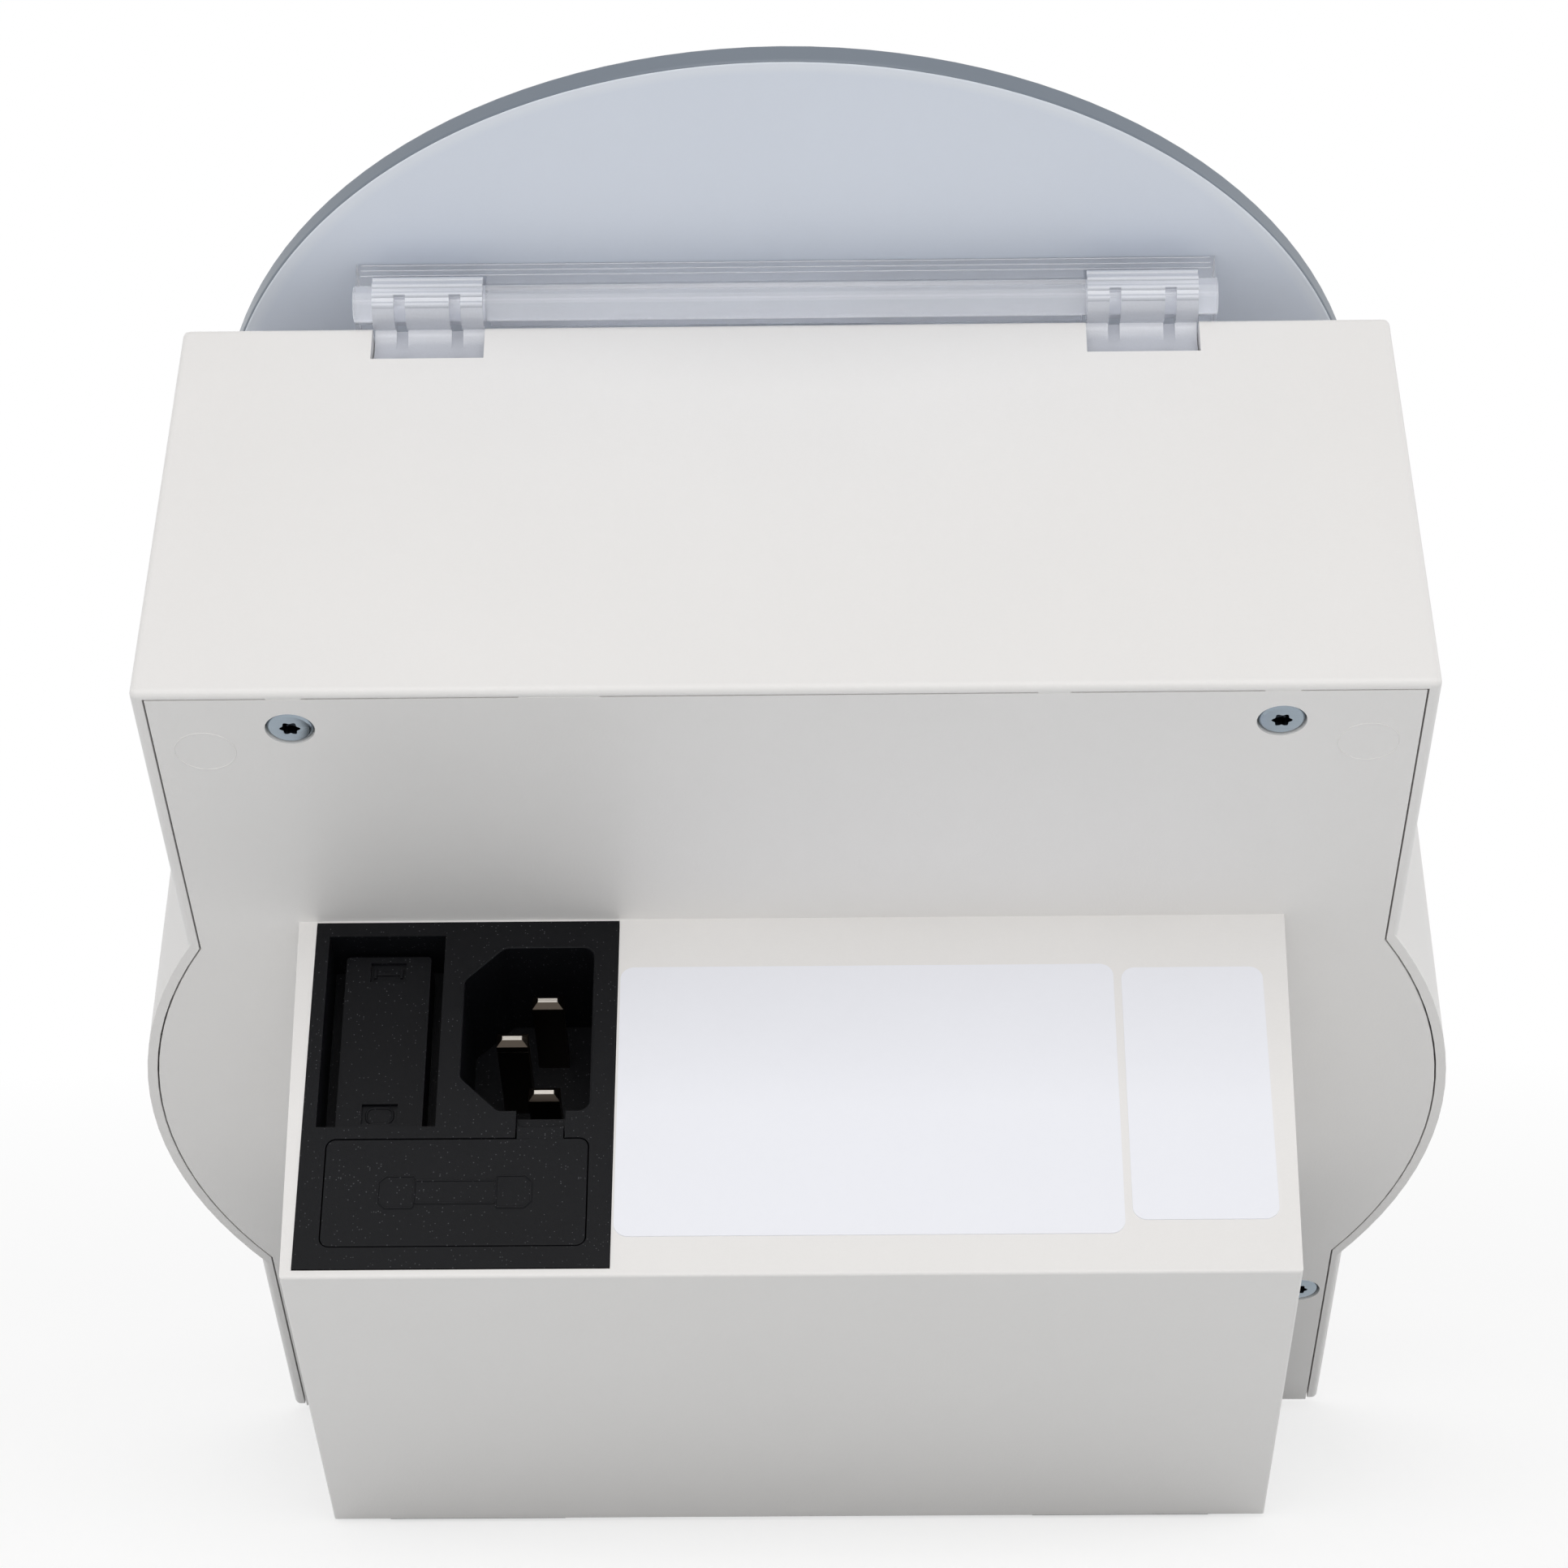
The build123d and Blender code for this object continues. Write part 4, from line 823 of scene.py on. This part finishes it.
class MIXER_OT_inlet(MixerOperator):
    """Finish the power inlet with its pins, insert, fuse drawer and fuses"""
    bl_idname = "mixer.inlet"
    bl_label = "Power Inlet"

    def execute(self, context):
        black = plastic(
            "Grained Black", colours().module, 0.42, grain=0.16, depth=0.03, mottle=0.4, specks=0.1,
            Specular_IOR_Level=0.13,
        )
        paint(black, "inlet_module", "selector_insert", "fuse_drawer")
        paint(self.pins(), "inlet_pins")
        paint(self.glass(), "fuses")
        soften(0.15, "fuse_drawer")
        self.outline(black)
        far, near = POCKET_ENDS
        oval = oblong(POCKET_MIDDLE - 1.7, POCKET_MIDDLE + 1.7, far - 1.15, far + 1.15)
        self.trim("insert_oval", level(oval, POCKET_FLOOR), black, 0.18, corner=0.95)
        lip = [
            (28.5, -29.33), (25.47, -29.33), (25.47, -4.37), (37.35, -4.37),
            (42.43, -9.45), (42.43, -24.25), (37.35, -29.33), (35.0, -29.33),
        ]
        self.trim("socket_lip", level(lip, INLET_FACE - 0.1), black, 0.16, corner=1.6, closed=False)
        self.terminals()
        low = POCKET_FLOOR - 0.1
        catch = []
        for x, half, high, deep in ((0.0, 1.7, 0.22, 0.22), (-1.7, 0.2, 0.3, 0.7), (1.7, 0.2, 0.3, 0.7)):
            x += POCKET_MIDDLE
            catch.append((x - half, x + half, low, POCKET_FLOOR + high, near - deep, near + deep))
        solid("insert_catch", catch, black, bevel=0.05)
        return {"FINISHED"}

    def trim(self, name, path, black, radius, **shape):
        """One raised line on the module."""
        lines(name, [path], black, "machine", "module_black", radius, **shape)

    def outline(self, black):
        """The raised outline of a fuse on the drawer: two caps and the tube between them."""
        shapes = []
        for side in (-1, 1):
            inner, corner, outer = (DRAWER_MIDDLE + side * x for x in (5.2, 8.75, 9.65))
            half = [(inner, 2.3), (corner, 2.3), (outer, 1.4)]
            shapes.append([(x, -f) for x, f in half] + half[::-1])
        shapes.append(oblong(DRAWER_MIDDLE - 5.1, DRAWER_MIDDLE + 5.1, -1.65, 1.65))
        paths = [level([(x, FUSE_ROW + f) for x, f in shape], INLET_FACE) for shape in shapes]
        lines("fuse_outline", paths, black, "drawer", "module_black", sizes().symbol_line, corner=0.3)

    def terminals(self):
        """Spade terminals under the module, one for each pin and two for the fuses."""
        blades = []
        for x, front in (LIVE_BLADE, NEUTRAL_BLADE, (36.05, -16.85), (33.0, FUSE_ROW), (51.0, FUSE_ROW)):
            blades.append((x - 2.4, x + 2.4, -81.4, -76.6, front - 0.4, front + 0.4))
            blades.append((x - 1.6, x + 1.6, -82.9, -81.3, front - 0.3, front + 0.3))
        tin = metal("Tinned Brass", (0.66, 0.63, 0.56), 0.3, pitch=0.4)
        solid("inlet_terminals", blades, tin, bevel=0.12)

    def pins(self):
        """Brass pins painted dark along their bodies as painted shade, with the brass colour on the ends of
        the two kinds of pin.
        """
        # painted shade: the pins' bodies are near black, and only their ends keep the brass colour
        material = metal("Pin Brass", (0.09, 0.074, 0.06), 0.3, pitch=0.2, wear=0.15)
        tree = material.node_tree
        _, up, _ = parts_of(tree, machine_space(tree))
        ends = [calc(tree, "COMPARE", up, end * MM, 0.06 * MM) for end in PIN_ENDS]
        recolour(tree, calc(tree, "MAXIMUM", *ends), (0.70, 0.66, 0.60))
        return material

    def glass(self):
        """Glass fuse bodies between nickel caps, told apart by their place."""
        material, tree, shader = blank("Tube Fuse", IOR=1.45)
        x, _, _ = parts_of(tree, machine_space(tree, (DRAWER_MIDDLE, 0.0, 0.0)))
        cap = calc(tree, "GREATER_THAN", calc(tree, "ABSOLUTE", x), 5.2 * MM)
        shade = blend_colour(tree, cap, (0.82, 0.86, 0.86), (0.70, 0.69, 0.66))
        put(shade, shader.inputs["Base Color"])
        put(cap, shader.inputs["Metallic"])
        put(cap * 0.14 + 0.08, shader.inputs["Roughness"])
        return material


class MIXER_OT_labels(MixerOperator):
    """Finish the two blank stickers"""
    bl_idname = "mixer.labels"
    bl_label = "Labels"

    def execute(self, context):
        film = plastic("Label Film", colours().label, 0.34, grain=0.9, depth=0.006, mottle=0.012)
        paint(film, "rating_label", "service_label")
        return {"FINISHED"}


class MIXER_OT_panel(MixerOperator):
    """Finish the control panel, its window, display, keys and board"""
    bl_idname = "mixer.panel"
    bl_label = "Control Panel"

    def execute(self, context):
        foil = plastic("Panel Foil", colours().panel, 0.36, grain=0.3, depth=0.02, Metallic=0.2)
        paint(foil, "control_panel")
        window = plastic(
            "Smoked Window", (0.34, 0.36, 0.38), 0.04, grain=6.0, depth=0.0001, mottle=0.01,
            Transmission_Weight=0.85, IOR=1.49,
        )
        paint(window, "display_window")
        paint(plastic("Display Face", (0.16, 0.19, 0.15), 0.3, grain=0.5, depth=0.004), "display")
        paint(plastic("Start Key", colours().start, 0.38, grain=0.4, depth=0.015), "start_button")
        grey = plastic("Time Keys", (0.60, 0.62, 0.64), 0.4, grain=0.4, depth=0.015)
        paint(grey, "time_down_button", "time_up_button")
        paint(board_finish(), "control_board")
        paint(plastic("Switch Black", (0.025, 0.025, 0.025), 0.4, grain=0.3), "key_switches")
        self.digits()
        self.chips()
        ring = circle_points(0.0, START_KEY, KEY_TOP, 6.4)
        arrow = [(x, START_KEY + up, KEY_TOP) for x, up in ((-1.9, -2.9), (3.2, 0.0), (-1.9, 2.9))]
        lines("start_mark", [ring, arrow], grey, "start_key", "button_grey", 0.22, corner=0.3)
        dark = plastic("Key Marks", (0.06, 0.07, 0.08), 0.45)
        for way, x, point in (("down", -27.0, -2.2), ("up", 27.0, 2.2)):
            spots = ((-2.6, -0.75 * point), (0.0, 0.75 * point), (2.6, -0.75 * point))
            chevron = [(x + side, TIME_KEYS + up, KEY_TOP) for side, up in spots]
            lines(
                f"time_{way}_mark", [chevron], dark, f"time_{way}_key", "switch_black", 0.25,
                corner=0.3, closed=False,
            )
        return {"FINISHED"}

    def digits(self):
        """Three unlit digit fields behind the window."""
        bars_between = ((0, 1), (2, 3), (4, 5), (0, 2), (2, 4), (1, 3), (3, 5))
        vertices = []
        edges = []
        for middle in (-11.0, 0.0, 11.0):
            first = len(vertices)
            for up in (5.0, 0.0, -5.0):
                vertices += [(middle + x, DISPLAY_MIDDLE + up, 64.76) for x in (-2.9, 2.9)]
            edges += [(first + a, first + b) for a, b in bars_between]
        bars = mesh_object("display_bars", vertices, edges)
        dim = plastic("Unlit Bar", (0.33, 0.35, 0.30), 0.3, grain=0.5, depth=0.003)
        grow(bars, make_segments, {
            "Bar Width": 1.0, "Bar Height": 0.12, "Gap": 0.55, "Material": dim,
            "Face": TO_WORLD.to_3x3() @ Vector((0.0, 0.0, 1.0)),
        })
        keep(bars, "machine")

    def chips(self):
        """Chip parts with tinned ends on the control board's front."""
        patches = (
            (-38.0, -8.0, -166.0, -151.0), (8.0, 38.0, -166.0, -151.0), (-32.0, 32.0, -128.0, -124.0),
        )
        corners = []
        faces = []
        for patch in patches:
            faces.append(tuple(range(len(corners), len(corners) + 4)))
            corners += [(x, up, 59.2) for x, up in oblong(*patch)]
        body = plastic("Chip Black", (0.03, 0.03, 0.032), 0.4, grain=0.3)
        tin = metal("Solder Tin", (0.66, 0.66, 0.65), 0.3, pitch=0.4)
        for name, size, shift, material, slot in (
            ("board_chips", (1.5, 0.8, 0.55), 0.0, body, "switch_black"),
            ("board_chip_ends_a", (0.35, 0.84, 0.6), 0.8, tin, "zinc_steel"),
            ("board_chip_ends_b", (0.35, 0.84, 0.6), -0.8, tin, "zinc_steel"),
        ):
            piece = mesh_object(name, corners, faces=faces)
            grow(piece, make_chips, {
                "Size": Vector(size) * MM, "Shift": Vector((shift, 0.0, size[2] / 2)) * MM,
                "Spacing": 4.2, "Seed": 7, "Rotation": Vector(FORWARD), "Material": material,
            })
            keep(piece, "machine")


class MIXER_OT_chamber(MixerOperator):
    """Finish the mixing chamber, rotor, cradle and jaw"""
    bl_idname = "mixer.chamber"
    bl_label = "Mixing Chamber"

    def execute(self, context):
        steel = (0.62, 0.63, 0.64)
        silver = (0.58, 0.59, 0.60)
        ground = metal("Ground Steel", steel, 0.2, round_about=SPINDLE, pitch=0.15)
        satin = plastic("Satin Black", (0.025, 0.025, 0.028), 0.38, grain=0.35, depth=0.02, mottle=0.1)
        aluminium = metal("Turned Aluminium", silver, 0.3, pitch=0.35, round_about=SPINDLE)
        brass = metal("Turned Brass", (0.68, 0.53, 0.26), 0.25, round_about=WEIGHT, pitch=0.3)
        bronze = metal("Sintered Bronze", (0.50, 0.33, 0.15), 0.5, round_about=PLANET, wear=0.3)
        paint(plastic("Chamber Grey", (0.42, 0.44, 0.46), 0.35, grain=0.5, depth=0.01), "chamber_bowl")
        paint(aluminium, "rotor_disc", "spindle_pulley", "sun_pulley_flange")
        paint(ground, "spindle", "rear_bearing", "front_bearing", "bearing_spacer")
        paint(metal("Planet Steel", steel, 0.2, round_about=PLANET, pitch=0.15), "planet_shaft")
        paint(metal("Planet Aluminium", silver, 0.3, round_about=PLANET, pitch=0.3), "planet_pulley")
        paint(bronze, "planet_bush")
        paint(brass, "balance_weight")
        paint(zinc_with_recess_shade(), "rotor_nut")
        paint(satin, "capsule_cradle", "sliding_jaw")
        soften(0.3, "capsule_cradle", "sliding_jaw", "rotor_nut", "balance_weight")
        return {"FINISHED"}


class MIXER_OT_drive(MixerOperator):
    """Finish the chassis, motor, pulleys and belts, with the motor's seams and terminals"""
    bl_idname = "mixer.drive"
    bl_label = "Drive"

    def execute(self, context):
        can = plastic(
            "Motor Grey", (0.10, 0.105, 0.11), 0.36, grain=0.4, depth=0.015, mottle=0.08, Metallic=0.3,
        )
        shaft = metal("Shaft Steel", (0.62, 0.63, 0.64), 0.18, round_about=MOTOR_AXLE, pitch=0.15)
        pulley = metal("Motor Pulley Metal", (0.72, 0.73, 0.74), 0.28, round_about=MOTOR_AXLE, pitch=0.25)
        rubber = plastic("Belt Rubber", (0.018, 0.018, 0.018), 0.6, grain=0.5, depth=0.05, mottle=0.15)
        paint(metal("Rolled Steel", (0.58, 0.59, 0.60), 0.38, pitch=0.5, wear=0.16), "chassis_plate")
        paint(can, "motor")
        paint(shaft, "motor_shaft")
        paint(pulley, "motor_pulley")
        paint(rubber, "drive_belt", "planet_belt")
        zinc = zinc_with_recess_shade()
        across, up, _ = MOTOR_AXLE
        rings = [circle_points(across, up, front, 24.0, 96) for front in (6.5, -31.0)]
        lines("motor_seams", rings, zinc, "machine", "motor_grey", 0.35)
        tabs = [(x - 1.6, x + 1.6, -79.0, -78.3, -44.4, -37.5) for x in (across - 6.0, across + 6.0)]
        solid("motor_terminals", tabs, zinc, bevel=0.1)
        return {"FINISHED"}


class MIXER_OT_supply(MixerOperator):
    """Finish the power board with its capacitor and choke, and lay the inlet's leads"""
    bl_idname = "mixer.supply"
    bl_label = "Power Board"

    def execute(self, context):
        paint(board_finish(), "power_board")
        paint(plastic("Capacitor Sleeve", (0.02, 0.022, 0.05), 0.3, grain=0.6, depth=0.006), "capacitor")
        paint(plastic("Choke Core", (0.05, 0.05, 0.055), 0.6, grain=0.5, depth=0.04), "choke")
        turns = sizes().coil_turns
        wire = 0.45
        loop = oblong(30.0 - wire, 56.0 + wire, -110.0 - wire, -86.0 + wire)
        coil = mesh_object(
            "choke_winding", [(x, up, -24.0) for x, up in loop], [(0, 1), (1, 2), (2, 3), (3, 0)],
        )
        step = TO_WORLD.to_3x3() @ Vector((0.0, 0.0, 15.0 / max(turns - 1, 1))) * MM
        copper = metal("Enamelled Copper", (0.62, 0.27, 0.10), 0.25, pitch=0.6, wear=0.1)
        grow(coil, make_winding, {
            "Wire Radius": wire, "Corner Radius": 1.6, "Turns": turns, "Step": step, "Material": copper,
        })
        keep(coil, "machine")
        sleeve = plastic("Grey Sleeve", (0.18, 0.19, 0.20), 0.4, grain=0.5)
        leads = (("live_lead", LIVE_BLADE, 12.0), ("neutral_lead", NEUTRAL_BLADE, 17.0))
        for name, (x, front), end in leads:
            path = [(x, -80.8, front), (x, -83.2, front), (end, -83.2, front), (end, -83.2, -5.2)]
            lines(
                name, [path], sleeve, "machine", "switch_black", 0.7,
                corner=1.6, closed=False, sides=12,
            )
        return {"FINISHED"}


class MIXER_OT_stage(MixerOperator):
    """Set the pale floor, the soft lamps, the world and the camera"""
    bl_idname = "mixer.stage"
    bl_label = "Stage"

    def execute(self, context):
        scene = context.scene
        self.floor()
        self.lamp("Key", (0.0, 1.05, 0.95), (0.0, 0.02, 0.1), 1.3, 6.9, (1.0, 0.99, 0.985))
        self.lamp("Rear Fill", (0.0, 1.75, 0.40), (0.0, 0.0, 0.12), 0.9, 4.1, (1.0, 0.99, 0.98))
        self.lamp("Left Fill", (1.5, -0.1, 0.5), (0.0, 0.0, 0.1), 0.8, 1.7, (0.98, 0.99, 1.0))
        self.lamp("Right Fill", (-1.5, -0.2, 0.5), (0.0, 0.0, 0.1), 0.8, 3.4, (0.98, 0.99, 1.0))
        self.lamp("Front Fill", (0.4, -1.5, 0.9), (0.0, 0.0, 0.1), 1.2, 4.0, (0.98, 0.99, 1.0))
        self.surroundings(scene)
        self.camera(scene)
        scene.view_settings.view_transform = "Standard"
        return {"FINISHED"}

    def floor(self):
        """A wide disc that shows white to the eye and still takes a shadow."""
        mesh = bpy.data.meshes.new("floor")
        shape = bmesh.new()
        bmesh.ops.create_circle(shape, cap_ends=True, segments=96, radius=6.0)
        shape.to_mesh(mesh)
        shape.free()
        material, tree, _ = blank("Floor")
        tree.nodes.clear()
        bounce = out(tree, "ShaderNodeBsdfDiffuse", {"Color": (*colours().floor, 1.0)})
        shaded = out(tree, "ShaderNodeBsdfDiffuse", {"Color": (0.42, 0.42, 0.42, 1.0)})
        glow = out(tree, "ShaderNodeEmission", {"Color": WHITE, "Strength": 0.64})
        near = out(tree, "ShaderNodeAddShader", {0: shaded, 1: glow})
        place = add(tree, "ShaderNodeTexCoord").outputs["Object"]
        reach = add(tree, "ShaderNodeVectorMath", {0: place}, operation="LENGTH").outputs["Value"]
        far = out(tree, "ShaderNodeMapRange", {0: reach, 1: 0.22, 2: 0.6})
        white = out(tree, "ShaderNodeEmission", {"Color": WHITE})
        seen = out(tree, "ShaderNodeMixShader", {0: far, 1: near, 2: white})
        mix = out(tree, "ShaderNodeMixShader", {0: seen_directly(tree), 1: bounce, 2: seen})
        add(tree, "ShaderNodeOutputMaterial", {0: mix})
        mesh.materials.append(material)
        link_object("floor", mesh)

    def lamp(self, name, place, target, size, power, colour):
        """A square softbox aimed at a point."""
        data = bpy.data.lights.new(name, "AREA")
        data.shape = "SQUARE"
        data.size = size
        data.energy = power
        data.color = colour
        lamp = link_object(name, data)
        lamp.location = place
        lamp.rotation_euler = (Vector(target) - Vector(place)).to_track_quat("-Z", "Y").to_euler()

    def surroundings(self, scene):
        """Even pale surroundings, white where they're seen."""
        scene.world = bpy.data.worlds.new("Pale Room")
        scene.world.use_nodes = True
        tree = scene.world.node_tree
        back = tree.nodes["Background"].inputs
        put(seen_directly(tree) * 0.55 + 0.45, back["Strength"])
        put(WHITE, back["Color"])

    def camera(self, scene):
        """A long lens, level with the rear of the machine."""
        data = bpy.data.cameras.new("camera")
        data.sensor_width = 36.0
        data.lens = 100.03
        data.clip_start = 0.01
        data.clip_end = 50.0
        right = Vector((-0.99984, -0.01778, 0.00226))
        down = Vector((0.00844, -0.57823, -0.81583))
        ahead = Vector((0.01581, -0.81568, 0.57829))
        spot = Vector((-8.276, 425.27, -315.65)) * MM
        turn = Matrix((right, -down, -ahead)).transposed().to_4x4()
        scene.camera = link_object("camera", data)
        scene.camera.matrix_world = TO_WORLD @ Matrix.Translation(spot) @ turn


OPERATORS = (
    MIXER_OT_shell, MIXER_OT_fasteners, MIXER_OT_feet, MIXER_OT_lid, MIXER_OT_hinge, MIXER_OT_inlet,
    MIXER_OT_labels, MIXER_OT_panel, MIXER_OT_chamber, MIXER_OT_drive, MIXER_OT_supply, MIXER_OT_stage,
)


class MIXER_PT_panel(bpy.types.Panel):
    """Lists the mixer's pieces in the sidebar"""
    bl_idname = "MIXER_PT_panel"
    bl_label = "Capsule Mixer"
    bl_space_type = "VIEW_3D"
    bl_region_type = "UI"
    bl_category = "Mixer"

    def draw(self, context):
        for group_name in ("mixer_sizes", "mixer_colours"):
            values = getattr(context.scene, group_name)
            column = self.layout.column()
            for name in values.__annotations__:
                column.prop(values, name)
        for operator in OPERATORS:
            self.layout.operator(operator.bl_idname)


CLASSES = (MixerSizes, MixerColours, *OPERATORS, MIXER_PT_panel)


def register():
    """Register the classes and the scene's properties."""
    for item in CLASSES:
        bpy.utils.register_class(item)
    bpy.types.Scene.mixer_sizes = PointerProperty(type=MixerSizes)
    bpy.types.Scene.mixer_colours = PointerProperty(type=MixerColours)


def unregister():
    """Take the properties and the classes away."""
    del bpy.types.Scene.mixer_colours
    del bpy.types.Scene.mixer_sizes
    for item in reversed(CLASSES):
        bpy.utils.unregister_class(item)


def main():
    """Make every piece in order."""
    register()
    for operator in OPERATORS:
        family, name = operator.bl_idname.split(".")
        getattr(getattr(bpy.ops, family), name)()


if __name__ == "__main__":
    main()
